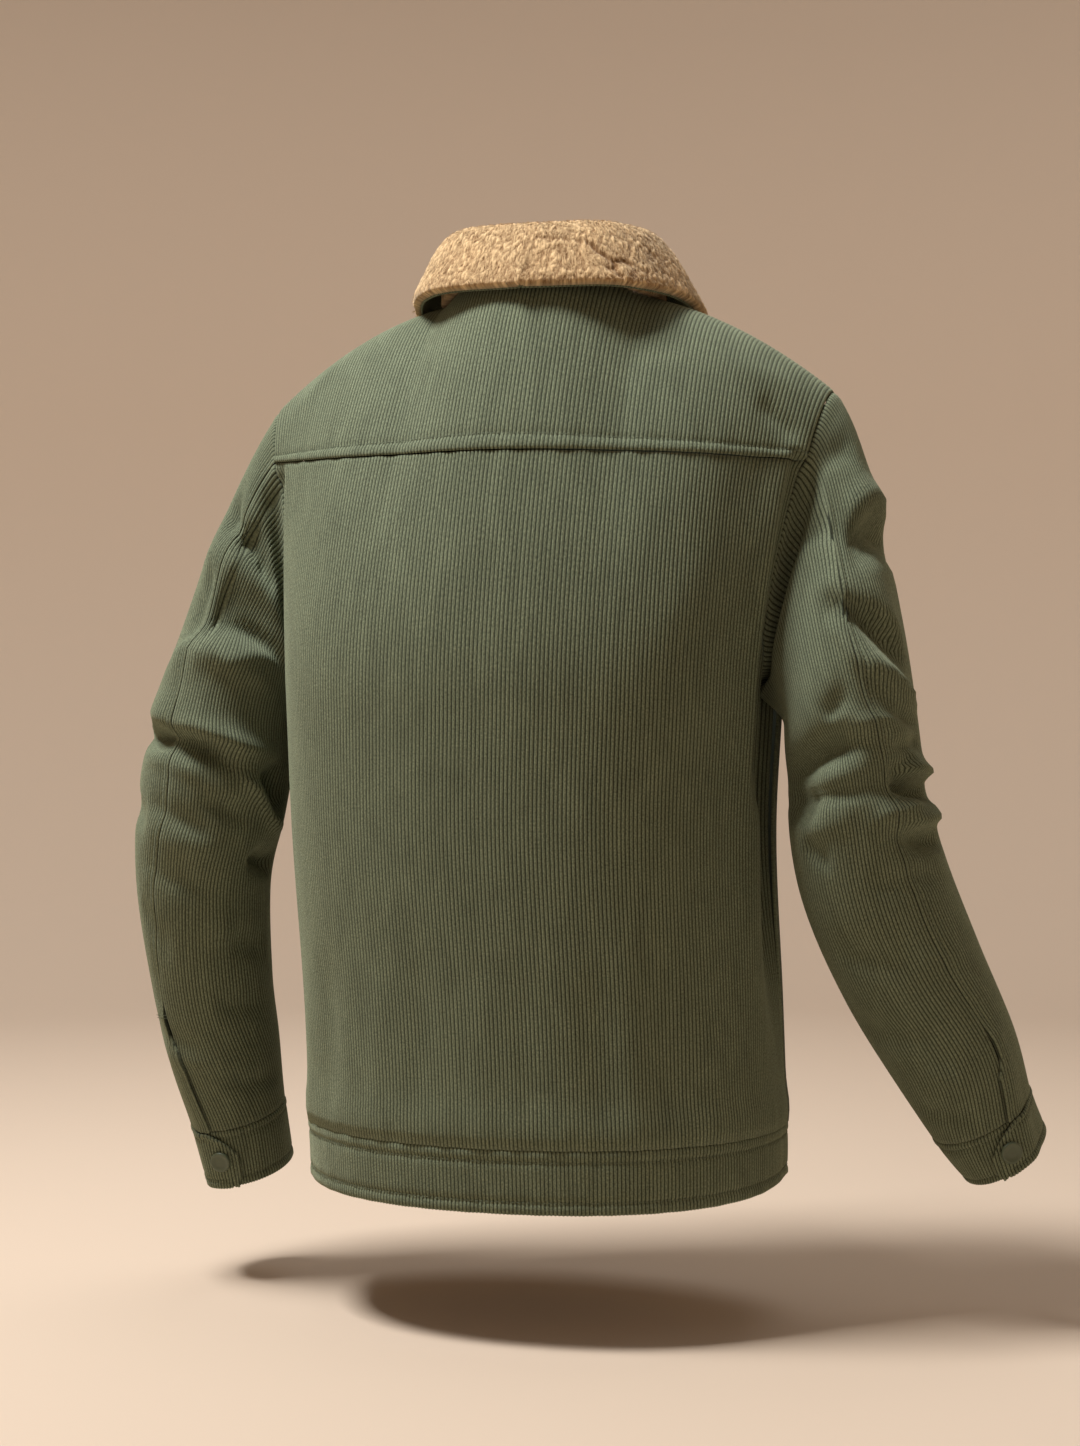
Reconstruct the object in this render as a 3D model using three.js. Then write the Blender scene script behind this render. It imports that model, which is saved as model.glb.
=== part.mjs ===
// A corduroy jacket with a deep-pile collar, filled out as if worn, and hollow.
// Millimetres, +Z up. The front faces -Y, and the wearer's left is +X.
// The origin is the middle of the neck opening, level with the upper ends of the shoulder seams, where a
// wearer holds the jacket up.
//
// A place on the body is (side, across, up). side is 1 on the back and -1 on the front. across runs from 0
// at the centre to 1 at the left side seam and -1 at the right one. up is in millimetres from the chest
// ring. Below it the body is a stack of rings, and above it each column of cloth rises and leans over to
// the shoulder or neck seam. A place on a sleeve is (run, around). run is -1 at the armhole and then counts
// the stations down the arm, and around is 0 at the underarm seam, 0.25 behind, 0.5 outermost and 0.75 in
// front.
import * as THREE from "three";

// Cloth
const CORDUROY = 2.4;
const DOUBLED = 3.2; // waistband and cuffs
const PILE = 7; // collar
const SEAM_GAP = 0.3; // between neighbouring pieces

// Body
const CHEST_Z = -300;
const HEM_Z = -656;
const BAND_TOP_Z = -611;
const HEM_RISE = 8; // the hem hangs higher at the side seams than behind and in front
const YOKE_Z = { centre: -128, left: -119, right: -134 };
const HALF_CHEST = 262; // cloth from the centre to a side seam, by which places across the body are named
const COLUMN = 290; // from the chest ring up to a shoulder seam
const FRONT_YOKE = 30; // how far the yoke reaches over the shoulder
const YOKE_LIFT = 0.8; // the yoke lies a little proud, over its seam allowance
const BAND_LIFT = 0.5; // and so do the waistband and the cuffs
const NECK = { halfWidth: 78, backDepth: 62, frontDepth: 64 }; // the neck opening, seen from above
// The line of the shoulders. It goes on across the neck, which is cut out there, higher for the back than
// for the fronts.
const RIDGE = { y: -20, neckZ: -7, riseBehind: 58, riseInFront: 15, bluntness: 1.35 };
const RIDGE_ROUNDING = { left: 45, right: 38 };
const TIP = { x: 212, y: -14, z: -80 }; // lower end of a shoulder seam
const NECK_CLOTH = 82; // cloth from the centre to the upper end of a shoulder seam
const TIP_CLOTH = 212; // and to its lower end
const SCOOP = 95; // height of the curve at the foot of an armhole
const BODY_RINGS = [
  { z: -656, halfWidth: 178, back: 154, front: 106, shiftX: 3, shiftY: -20, corner: 2.15 },
  { z: -611, halfWidth: 179, back: 156, front: 108, shiftX: 4, shiftY: -20, corner: 2.15 },
  { z: -523, halfWidth: 179, back: 158, front: 108, shiftX: 7, shiftY: -20, corner: 2.2 },
  { z: -400, halfWidth: 180, back: 161, front: 108, shiftX: 13, shiftY: -18, corner: 2.3 },
  { z: -300, halfWidth: 184, back: 160, front: 106, shiftX: 12, shiftY: -16, corner: 2.4 },
];

// Laps: at the front the left side lies over the right, and at a cuff the upper sleeve over the under sleeve
const FRONT_LAP = { over: 17, under: 13, flat: 26, ramp: 28 };
const CUFF_LAP = { over: 26, under: 6, ramp: 20 };
const SLIT_LAP = { over: 8, ramp: 22, opens: 0.28 };

// Sleeves. Outwards is x, and a section is an oval, turned by `turn` degrees round the arm.
const CUFF_RUN = 5;
const CAP = { halfWidth: 205, height: 150 }; // the bell-shaped top of a sleeve, laid flat
const SLEEVES = {
  left: {
    outwards: 1,
    capFullness: 0.28,
    slitTop: 3,
    stations: [
      { run: 0, x: 252, y: 3, z: -318, wide: 52, deep: 71, turn: -31 },
      { run: 1, x: 262, y: 9, z: -377, wide: 55, deep: 65, turn: -35 },
      { run: 2, x: 271, y: 4, z: -437, wide: 50, deep: 59, turn: -25 },
      { run: 3, x: 271, y: -13, z: -516, wide: 45, deep: 53, turn: -16 },
      { run: 4, x: 267, y: -27, z: -570, wide: 42, deep: 50, turn: -23 },
      { run: 5, x: 261, y: -40, z: -621, wide: 36, deep: 45, turn: -32 },
      { run: 6, x: 255, y: -50, z: -667, wide: 33, deep: 42, turn: -31 },
    ],
  },
  right: {
    outwards: -1,
    capFullness: 0.4,
    slitTop: 3.65,
    stations: [
      { run: 0, x: 226, y: 3, z: -318, wide: 47, deep: 74, turn: -14 },
      { run: 1, x: 231, y: 8, z: -370, wide: 50, deep: 67, turn: -3 },
      { run: 2, x: 242, y: 4, z: -428, wide: 53, deep: 60, turn: -3 },
      { run: 3, x: 266, y: -10, z: -492, wide: 52, deep: 55, turn: -1 },
      { run: 4, x: 295, y: -25, z: -553, wide: 47, deep: 51, turn: 9 },
      { run: 5, x: 314, y: -38, z: -598, wide: 39, deep: 46, turn: 3 },
      { run: 6, x: 331, y: -48, z: -629, wide: 33, deep: 43, turn: -7 },
    ],
  },
};

// Folds: each is a soft ridge, or a trough where its height is negative, from one place on the cloth to
// another. `wide` is half its width and `height` its height in millimetres. The places on the back are
// [across, up].
const BACK_FOLDS = [
  { name: "valley before the right armhole", from: [-0.92, -180], to: [-0.92, 190], wide: 17, height: -19 },
  { name: "edge beside that valley", from: [-0.8, -180], to: [-0.79, 160], wide: 20, height: 6 },
  { name: "dimple over the right end of the yoke", from: [-0.66, 192], to: [-0.76, 182], wide: 9, height: -4 },
  { name: "drag line low on the right", from: [-0.5, -300], to: [-0.44, -180], wide: 15, height: -3 },
  { name: "drag line beside it", from: [-0.3, -300], to: [-0.28, -200], wide: 14, height: -2.5 },
  { name: "drag line low on the left", from: [0.55, -300], to: [0.5, -190], wide: 16, height: -2.5 },
];
// The places on a sleeve are [run, around].
const SLEEVE_FOLDS = {
  left: [
    { name: "crease under the shoulder", from: [-0.55, 0.43], to: [-0.66, 0.29], wide: 13, height: -6 },
    { name: "roll under that crease", from: [-0.42, 0.45], to: [-0.58, 0.29], wide: 12, height: 3 },
    { name: "deep upper trough", from: [-0.25, 0.45], to: [-0.48, 0.21], wide: 15, height: -11 },
    { name: "upper roll", from: [-0.14, 0.44], to: [-0.3, 0.2], wide: 12, height: 4 },
    { name: "elbow roll", from: [0.06, 0.48], to: [0.33, 0.19], wide: 12, height: 8 },
    { name: "crease under the elbow roll", from: [0.4, 0.5], to: [0.47, 0.27], wide: 10, height: -9 },
    { name: "pocket inside the elbow", from: [0.55, 0.16], to: [0.95, 0.12], wide: 13, height: -9 },
    { name: "edge of that pocket", from: [0.5, 0.24], to: [1.2, 0.09], wide: 10, height: 5 },
    { name: "outer notch", from: [1.33, 0.45], to: [1.2, 0.55], wide: 10, height: -5 },
    { name: "forearm pocket", from: [1.6, 0.15], to: [1.81, 0.05], wide: 11, height: -6 },
    { name: "front upper crease", from: [-0.3, 0.62], to: [-0.5, 0.8], wide: 13, height: -7 },
    { name: "front elbow crease", from: [0.7, 0.62], to: [0.5, 0.85], wide: 12, height: -9 },
    { name: "front elbow roll", from: [1.05, 0.64], to: [0.85, 0.88], wide: 12, height: 5 },
    { name: "front forearm crease", from: [1.5, 0.66], to: [1.35, 0.86], wide: 11, height: -6 },
  ],
  right: [
    { name: "crease under the shoulder", from: [-0.46, 0.41], to: [-0.44, 0.57], wide: 10, height: -6 },
    { name: "roll above that crease", from: [-0.56, 0.41], to: [-0.53, 0.57], wide: 11, height: 4 },
    { name: "upper roll", from: [-0.45, 0.33], to: [-0.21, 0.5], wide: 11, height: 5 },
    { name: "trough under it", from: [-0.37, 0.34], to: [-0.16, 0.48], wide: 11, height: -5 },
    { name: "second roll", from: [-0.18, 0.36], to: [0.04, 0.5], wide: 11, height: 5 },
    { name: "trough inside the upper arm", from: [0.82, 0.07], to: [0.48, 0.3], wide: 14, height: -8 },
    { name: "elbow bump", from: [0.22, 0.32], to: [0.38, 0.46], wide: 12, height: 5 },
    { name: "elbow roll", from: [0.74, 0.4], to: [0.8, 0.54], wide: 10, height: 6 },
    { name: "deep elbow crease", from: [0.96, 0.35], to: [1.07, 0.53], wide: 10, height: -10 },
    { name: "roll under that crease", from: [1.3, 0.33], to: [1.4, 0.54], wide: 10, height: 6 },
    { name: "forearm crease", from: [1.62, 0.34], to: [1.74, 0.5], wide: 10, height: -5 },
    { name: "crease inside the elbow", from: [1.1, 0.06], to: [1.08, 0.18], wide: 11, height: -7 },
    { name: "front upper crease", from: [-0.32, 0.62], to: [-0.5, 0.8], wide: 13, height: -7 },
    { name: "front elbow crease", from: [0.75, 0.62], to: [0.55, 0.85], wide: 12, height: -9 },
    { name: "front elbow roll", from: [1.1, 0.64], to: [0.9, 0.88], wide: 12, height: 5 },
    { name: "front forearm crease", from: [1.55, 0.66], to: [1.4, 0.86], wide: 11, height: -6 },
  ],
};

// Collar: the line where it folds over and its outer edge, at some turns in degrees from the centre back
const COLLAR_ENDS = 162;
const COLLAR = [
  { turn: 0, foldX: 0, foldY: 46, foldZ: 43, edgeX: 0, edgeY: 80, edgeZ: -4 },
  { turn: 45, foldX: 57, foldY: 27, foldZ: 44, edgeX: 80, edgeY: 50, edgeZ: -3 },
  { turn: 90, foldX: 80, foldY: -26, foldZ: 36, edgeX: 113, edgeY: -40, edgeZ: -12 },
  { turn: 130, foldX: 60, foldY: -76, foldZ: -4, edgeX: 97, edgeY: -104, edgeZ: -66 },
  { turn: 162, foldX: 18, foldY: -100, foldZ: -44, edgeX: 52, edgeY: -136, edgeZ: -130 },
];

const SNAP = { radius: 8, height: 3, sides: 14 };
const FRONT_SNAP_HEIGHTS = [-120, -230, -340, -450, -560];

const clamp = (value, low, high) => Math.min(high, Math.max(low, value));
const ease = (value) => clamp(value, 0, 1) ** 2 * (3 - 2 * clamp(value, 0, 1));
const mix = (a, b, share) => a + (b - a) * share;
const radians = (degrees) => (degrees * Math.PI) / 180;
const vector = (x, y, z) => new THREE.Vector3(x, y, z);
const steps = (count) => Array.from({ length: count + 1 }, (_, i) => i / count);

const between = (from, to, count) => steps(count).map((share) => mix(from, to, share));
const join = (...lists) => lists.flatMap((list, i) => (i ? list.slice(1) : list));

const cubic = (a, b, leave, arrive, t) =>
  a * (2 * t ** 3 - 3 * t ** 2 + 1) +
  b * (3 * t ** 2 - 2 * t ** 3) +
  leave * (t ** 3 - 2 * t ** 2 + t) +
  arrive * (t ** 3 - t ** 2);

const cubicPoint = (a, b, leave, arrive, t) =>
  vector(...["x", "y", "z"].map((axis) => cubic(a[axis], b[axis], leave[axis], arrive[axis], t)));

// Every column of a table, at a place between its rows, on a smooth curve through them
function alongTable(table, key, at) {
  const last = table.length - 1;
  let i = 0;
  while (i < last - 1 && at > table[i + 1][key]) i++;
  const span = table[i + 1][key] - table[i][key];
  const row = {};
  for (const name of Object.keys(table[0])) {
    const slope = (j) => {
      const before = table[Math.max(j - 1, 0)];
      const after = table[Math.min(j + 1, last)];
      return ((after[name] - before[name]) / (after[key] - before[key])) * span;
    };
    const share = (at - table[i][key]) / span;
    row[name] = cubic(table[i][name], table[i + 1][name], slope(i), slope(i + 1), share);
  }
  return row;
}

// A fold as an oval on the flat cloth, where `flat` turns a place on the garment into millimetres
function foldOnCloth(fold, flat) {
  const [from, to] = [flat(fold.from), flat(fold.to)];
  const [dx, dy] = [to[0] - from[0], to[1] - from[1]];
  const length = Math.hypot(dx, dy);
  const middle = { x: (from[0] + to[0]) / 2, y: (from[1] + to[1]) / 2 };
  return { ...fold, ...middle, alongX: dx / length, alongY: dy / length, long: length * 0.55 };
}

// The height of all folds at a place on the flat cloth, which closes on itself where it has a girth
function foldHeight(folds, x, y, girth = Infinity) {
  let height = 0;
  for (const fold of folds) {
    const turns = Number.isFinite(girth) ? Math.round((x - fold.x) / girth) * girth : 0;
    const [dx, dy] = [x - fold.x - turns, y - fold.y];
    const alongIt = dx * fold.alongX + dy * fold.alongY;
    const overIt = dx * fold.alongY - dy * fold.alongX;
    height += fold.height * Math.exp(-((alongIt / fold.long) ** 4) - (overIt / fold.wide) ** 2);
  }
  return height;
}

// The direction square to a surface, turned outwards by `facing`
function squareTo(surface, a, b, stepA, stepB, facing) {
  const alongA = surface(a + stepA, b).sub(surface(a - stepA, b));
  const alongB = surface(a, b + stepB).sub(surface(a, b - stepB));
  return alongA.cross(alongB).normalize().multiplyScalar(facing);
}

// Body
function ringPoint(side, across, z) {
  const ring = alongTable(BODY_RINGS, "z", z);
  const depth = side > 0 ? ring.back : ring.front;
  const count = 40;
  const spot = (angle) => {
    const [s, c] = [Math.sin(angle), Math.cos(angle)];
    const size = Math.abs(s / ring.halfWidth) ** ring.corner + Math.abs(c / depth) ** ring.corner;
    return [s * size ** (-1 / ring.corner), c * size ** (-1 / ring.corner)];
  };
  const spots = steps(count).map((share) => spot((share * Math.PI) / 2));
  const lengths = [0];
  for (let i = 1; i <= count; i++) {
    lengths.push(lengths[i - 1] + Math.hypot(spots[i][0] - spots[i - 1][0], spots[i][1] - spots[i - 1][1]));
  }
  const wanted = Math.abs(across) * lengths[count];
  let i = 0;
  while (i < count - 1 && lengths[i + 1] < wanted) i++;
  const share = (i + (wanted - lengths[i]) / (lengths[i + 1] - lengths[i])) / count;
  const [x, y] = spot((share * Math.PI) / 2);
  return vector(ring.shiftX + Math.sign(across) * x, ring.shiftY + side * y, z);
}

// Where a column crosses the line of the shoulders
function ridgePoint(side, across) {
  const share = (Math.abs(across) * HALF_CHEST) / NECK_CLOTH;
  if (share <= 1) {
    const x = Math.sign(across) * NECK.halfWidth * share;
    const rise = side > 0 ? RIDGE.riseBehind : RIDGE.riseInFront;
    return vector(x, RIDGE.y, RIDGE.neckZ + rise * (1 - share ** 2) ** RIDGE.bluntness);
  }
  const down = (Math.abs(across) * HALF_CHEST - NECK_CLOTH) / (TIP_CLOTH - NECK_CLOTH);
  const rounding = across > 0 ? RIDGE_ROUNDING.left : RIDGE_ROUNDING.right;
  const z = mix(RIDGE.neckZ, TIP.z, down) + rounding * down * (1 - down);
  return vector(Math.sign(across) * mix(NECK.halfWidth, TIP.x, down), mix(RIDGE.y, TIP.y, down), z);
}

function plainBodyPoint(side, across, up) {
  if (up <= 0) return ringPoint(side, across, CHEST_Z + up);
  const start = ringPoint(side, across, CHEST_Z);
  const step = 4;
  const rise = start.clone().sub(ringPoint(side, across, CHEST_Z - step)).divideScalar(step);
  const ridge = ridgePoint(side, across);
  const reach = start.distanceTo(ridge);
  const over = vector(0, -side, -0.22 * side).multiplyScalar(reach * 0.62);
  return cubicPoint(start, ridge, rise.multiplyScalar(reach), over, up / COLUMN);
}

function plainBodyNormal(side, across, up) {
  return squareTo((a, b) => plainBodyPoint(side, a, b), across, up, 0.004, 1, -side);
}

const flatBack = ([across, up]) => [across * HALF_CHEST, up];
const backFolds = BACK_FOLDS.map((fold) => foldOnCloth(fold, flatBack));

function bodyPoint(side, across, up, lift = 0) {
  const point = plainBodyPoint(side, across, up);
  const height = side > 0 ? foldHeight(backFolds, across * HALF_CHEST, up) : 0;
  return point.addScaledVector(plainBodyNormal(side, across, up), height + lift);
}

function bodyPlace(side, across, up, lift = 0) {
  return {
    point: bodyPoint(side, across, up, lift),
    normal: squareTo((a, b) => bodyPoint(side, a, b, lift), across, up, 0.004, 1, -side),
  };
}

// The armhole: up each column to the shoulder seam, and a quarter oval round the foot
const ARMHOLE_ACROSS = TIP_CLOTH / HALF_CHEST;

const scoopPlace = (angle) => ({
  across: ARMHOLE_ACROSS + (1 - ARMHOLE_ACROSS) * (1 - Math.sin(angle)),
  up: SCOOP * (1 - Math.cos(angle)),
});

function scoopUp(across) {
  const share = clamp((Math.abs(across) - ARMHOLE_ACROSS) / (1 - ARMHOLE_ACROSS), 0, 1);
  return SCOOP * (1 - Math.sqrt(1 - (1 - share) ** 2));
}

// How far up a column passes a test, which holds below that place and fails above it
function upWhere(test) {
  let [low, high] = [HEM_Z - CHEST_Z, COLUMN];
  for (let i = 0; i < 30; i++) {
    const middle = (low + high) / 2;
    if (test(middle)) low = middle;
    else high = middle;
  }
  return low;
}

function yokeUp(across) {
  const rise = across > 0 ? YOKE_Z.left - YOKE_Z.centre : YOKE_Z.right - YOKE_Z.centre;
  return upWhere((up) => plainBodyPoint(1, across, up).z < YOKE_Z.centre + rise * across ** 2);
}

// Where the neck opening cuts a column, or else the line of the shoulders
function topUp(side, across) {
  const share = clamp((Math.abs(across) * HALF_CHEST) / NECK_CLOTH, 0, 1);
  const depth = (side > 0 ? NECK.backDepth : NECK.frontDepth) * Math.sqrt(1 - share ** 2);
  return upWhere((up) => (plainBodyPoint(side, across, up).y - RIDGE.y) * side > depth);
}

// The neck seam, by the turn in degrees from the centre back, to the left where it is positive
function neckPoint(turn) {
  const side = Math.abs(turn) < 90 ? 1 : -1;
  const across = (Math.sin(radians(turn)) * NECK_CLOTH) / HALF_CHEST;
  return plainBodyPoint(side, across, topUp(side, across));
}

// The rows and columns of cloth that end at an armhole, from the underarm up the back, over and down the
// front. The body and the sleeves share them, so that both sides of the seam have the same corners.
const SCOOP_STEPS = 4;
const UPPER_STEPS = 3;
const YOKE_STEPS = 6;
const OVER_STEPS = 2;
const scoopPlaces = steps(SCOOP_STEPS).map((share) => scoopPlace((share * Math.PI) / 2));

function armholePlaces(outwards) {
  const across = ARMHOLE_ACROSS;
  const yokeStart = yokeUp(outwards * across);
  const yokeEnd = COLUMN - FRONT_YOKE;
  const up = (side, list) => list.slice(1).map((at) => ({ side, across, up: at }));
  return [
    ...scoopPlaces.map((place) => ({ side: 1, ...place })),
    ...up(1, between(SCOOP, yokeStart, UPPER_STEPS)),
    ...up(1, between(yokeStart, COLUMN, YOKE_STEPS)),
    ...up(-1, between(COLUMN, yokeEnd, OVER_STEPS)),
    ...up(-1, between(yokeEnd, SCOOP, UPPER_STEPS)),
    ...scoopPlaces.toReversed().slice(1).map((place) => ({ side: -1, ...place })),
  ];
}

// Sleeves
function armholeLoop(outwards) {
  const onBody = ({ side, across, up }) => bodyPlace(side, outwards * across, up);
  const points = armholePlaces(outwards).map(onBody);
  const last = points.length - 1;
  points.forEach((place, i) => {
    const [before, after] = [points[i > 0 ? i - 1 : last - 1].point, points[i < last ? i + 1 : 1].point];
    place.away = place.normal.clone().cross(after.clone().sub(before)).normalize().multiplyScalar(outwards);
  });
  const lengths = [0];
  for (let i = 1; i < points.length; i++) {
    lengths.push(lengths[i - 1] + points[i].point.distanceTo(points[i - 1].point));
  }
  const total = lengths[lengths.length - 1];
  return { points, lengths, total, shares: lengths.map((length) => length / total) };
}

// The share of the armhole that lies before a place round the sleeve, by length along the bell-shaped top
const CAP_LENGTHS = [0];
const CAP_STEPS = 60;
for (let i = 1; i <= CAP_STEPS; i++) {
  const height = (share) => (CAP.height / 2) * (1 - Math.cos(share * Math.PI));
  const rise = height(i / CAP_STEPS) - height((i - 1) / CAP_STEPS);
  CAP_LENGTHS.push(CAP_LENGTHS[i - 1] + Math.hypot(CAP.halfWidth / CAP_STEPS, rise));
}

function capShare(around) {
  const place = Math.min(around, 1 - around) * 2 * CAP_STEPS;
  const i = clamp(Math.floor(place), 0, CAP_STEPS - 1);
  const share = mix(CAP_LENGTHS[i], CAP_LENGTHS[i + 1], place - i) / CAP_LENGTHS[CAP_STEPS] / 2;
  return around <= 0.5 ? share : 1 - share;
}

// The places round a sleeve that the corners of the armhole lead to
function sleeveColumns(sleeve) {
  return sleeve.loop.shares.map((share) => {
    let [low, high] = [0, 1];
    for (let i = 0; i < 30; i++) {
      const middle = (low + high) / 2;
      if (capShare(middle) < share) low = middle;
      else high = middle;
    }
    return low;
  });
}

function armholePlace(sleeve, around) {
  const { points, lengths, total } = sleeve.loop;
  const wanted = capShare(around) * total;
  let i = 0;
  while (i < lengths.length - 2 && lengths[i + 1] < wanted) i++;
  const share = (wanted - lengths[i]) / (lengths[i + 1] - lengths[i]);
  const [a, b] = [points[i], points[i + 1]];
  const away = a.away.clone().lerp(b.away, share);
  const underarm = 0.5 + 0.5 * Math.cos(capShare(around) * 2 * Math.PI);
  const alongArm = vector(sleeve.outwards * 0.4, 0, -0.9);
  return { point: a.point.clone().lerp(b.point, share), away: away.lerp(alongArm, underarm).normalize() };
}

function sectionPoint(sleeve, run, around) {
  const centre = (at) => {
    const row = alongTable(sleeve.stations, "run", at);
    return vector(sleeve.outwards * row.x, row.y, row.z);
  };
  const row = alongTable(sleeve.stations, "run", run);
  const arm = centre(run + 0.05).sub(centre(run - 0.05)).normalize();
  const outer = vector(sleeve.outwards, 0, 0).addScaledVector(arm, -sleeve.outwards * arm.x).normalize();
  const back = vector(0, 1, 0).addScaledVector(arm, -arm.y);
  back.addScaledVector(outer, -back.dot(outer)).normalize();
  const angle = around * 2 * Math.PI + radians(row.turn);
  return centre(run)
    .addScaledVector(outer, -row.wide * Math.cos(angle))
    .addScaledVector(back, row.deep * Math.sin(angle));
}

function plainSleevePoint(sleeve, run, around) {
  const place = ((around % 1) + 1) % 1;
  if (run >= 0) return sectionPoint(sleeve, run, place);
  const armhole = armholePlace(sleeve, place);
  const section = sectionPoint(sleeve, 0, place);
  const onwards = sectionPoint(sleeve, 0.1, place).sub(section).normalize();
  const reach = armhole.point.distanceTo(section);
  const leave = armhole.away.multiplyScalar(reach * sleeve.capFullness);
  return cubicPoint(armhole.point, section, leave, onwards.multiplyScalar(reach), run + 1);
}

const SLEEVE_GIRTH = 400; // cloth round the upper arm, by which folds are placed
const RUN_LENGTH = 62; // cloth between stations, by which folds are placed
const CAP_LENGTH = 180; // and from the armhole to the first station
const downArm = (run) => run * (run < 0 ? CAP_LENGTH : RUN_LENGTH);
const flatSleeve = ([run, around]) => [around * SLEEVE_GIRTH, downArm(run)];

function sleevePoint(sleeve, run, around, lift = 0) {
  const point = plainSleevePoint(sleeve, run, around);
  const surface = (a, b) => plainSleevePoint(sleeve, a, b);
  const normal = squareTo(surface, run, around, 0.01, 0.003, -sleeve.outwards);
  const height = foldHeight(sleeve.folds, around * SLEEVE_GIRTH, downArm(run), SLEEVE_GIRTH);
  return point.addScaledVector(normal, height * ease((run + 1) * 3) + lift);
}

function sleevePlace(sleeve, run, around, lift = 0) {
  return {
    point: sleevePoint(sleeve, run, around, lift),
    normal: squareTo((a, b) => sleevePoint(sleeve, a, b, lift), run, around, 0.01, 0.003, -sleeve.outwards),
  };
}

for (const side of ["left", "right"]) {
  SLEEVES[side].folds = SLEEVE_FOLDS[side].map((fold) => foldOnCloth(fold, flatSleeve));
  SLEEVES[side].loop = armholeLoop(SLEEVES[side].outwards);
  SLEEVES[side].columns = sleeveColumns(SLEEVES[side]);
  SLEEVES[side].seam = SLEEVES[side].columns[SCOOP_STEPS + UPPER_STEPS];
}

// Finishes
const corduroy = () => new THREE.MeshStandardMaterial({ color: 0x5a5f45, roughness: 0.95, metalness: 0 });
const fleece = () => new THREE.MeshStandardMaterial({ color: 0xcfae7e, roughness: 1, metalness: 0 });
const snapEnamel = () => new THREE.MeshStandardMaterial({ color: 0x4c5340, roughness: 0.5, metalness: 0.1 });

// A wall of cloth over a grid of places. Cells that `keep` leaves out are not there.
function clothWall(name, material, rows, columns, placeAt, thickness, keep = () => true) {
  const grid = rows.map((_, i) => columns.map((_, j) => placeAt(i, j)));
  const outer = ([i, j]) => grid[i][j].point;
  const inner = ([i, j]) => grid[i][j].point.clone().addScaledVector(grid[i][j].normal, -thickness);
  const triangles = [];
  const edges = new Map();
  for (let i = 0; i < rows.length - 1; i++) {
    for (let j = 0; j < columns.length - 1; j++) {
      if (!keep(i, j)) continue;
      const corners = [[i, j], [i + 1, j], [i + 1, j + 1], [i, j + 1]];
      const [a, b, c, d] = corners;
      triangles.push([outer(a), outer(b), outer(c)], [outer(a), outer(c), outer(d)]);
      triangles.push([inner(c), inner(b), inner(a)], [inner(d), inner(c), inner(a)]);
      corners.forEach((corner, k) => {
        const next = corners[(k + 1) % 4];
        edges.set(`${corner}>${next}`, [corner, next]);
      });
    }
  }
  for (const [from, to] of edges.values()) {
    if (edges.has(`${to}>${from}`)) continue;
    triangles.push([outer(to), outer(from), inner(from)], [outer(to), inner(from), inner(to)]);
  }
  const [a, b, c] = triangles[0];
  const facing = b.clone().sub(a).cross(c.clone().sub(a)).dot(grid[0][0].normal);
  const wound = facing > 0 ? triangles : triangles.map(([p, q, r]) => [r, q, p]);
  const geometry = new THREE.BufferGeometry();
  const positions = wound.flat().flatMap((point) => point.toArray());
  geometry.setAttribute("position", new THREE.Float32BufferAttribute(positions, 3));
  geometry.computeVertexNormals();
  const mesh = new THREE.Mesh(geometry, material);
  mesh.name = name;
  return mesh;
}

const scoopColumns = scoopPlaces.map((place) => place.across);
const ARM_STEPS = 5; // columns from the neck to an armhole
const NECK_STEPS = 5; // and from the centre to the neck
const neckAcross = NECK_CLOTH / HALF_CHEST;
const toNeck = steps(NECK_STEPS).map((share) => neckAcross * Math.sin((share * Math.PI) / 2));
const toArm = between(neckAcross, ARMHOLE_ACROSS, ARM_STEPS);
const yokeHalf = join(toNeck, toArm);
const backHalf = join(yokeHalf, scoopColumns.toReversed());
const mirrored = (half) => join(half.map((across) => -across).reverse(), half);
const LOWER_STEPS = 12;
const NECK_ROWS = 1;
const halfGap = SEAM_GAP / 2 / HALF_CHEST;
const insideSeams = (across) => clamp(across, halfGap - 1, 1 - halfGap);
const insideArmhole = (across) => clamp(across, halfGap * 2 - ARMHOLE_ACROSS, ARMHOLE_ACROSS - halfGap * 2);
const BAND_UP = BAND_TOP_Z - CHEST_Z + SEAM_GAP / 2;
const underArmhole = (across, row) => mix(BAND_UP, scoopUp(across) - SEAM_GAP / 2, row / LOWER_STEPS);

function backPanel() {
  const columns = mirrored(backHalf);
  const rows = steps(LOWER_STEPS + UPPER_STEPS);
  const placeAt = (i, j) => {
    const across = insideSeams(columns[j]);
    if (i <= LOWER_STEPS) return bodyPlace(1, across, underArmhole(across, i));
    const at = insideArmhole(across);
    return bodyPlace(1, at, mix(SCOOP, yokeUp(at) - SEAM_GAP / 2, (i - LOWER_STEPS) / UPPER_STEPS));
  };
  const keep = (i, j) => i < LOWER_STEPS || (j >= SCOOP_STEPS && j < columns.length - 1 - SCOOP_STEPS);
  return clothWall("back_panel", corduroy(), rows, columns, placeAt, CORDUROY, keep);
}

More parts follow.
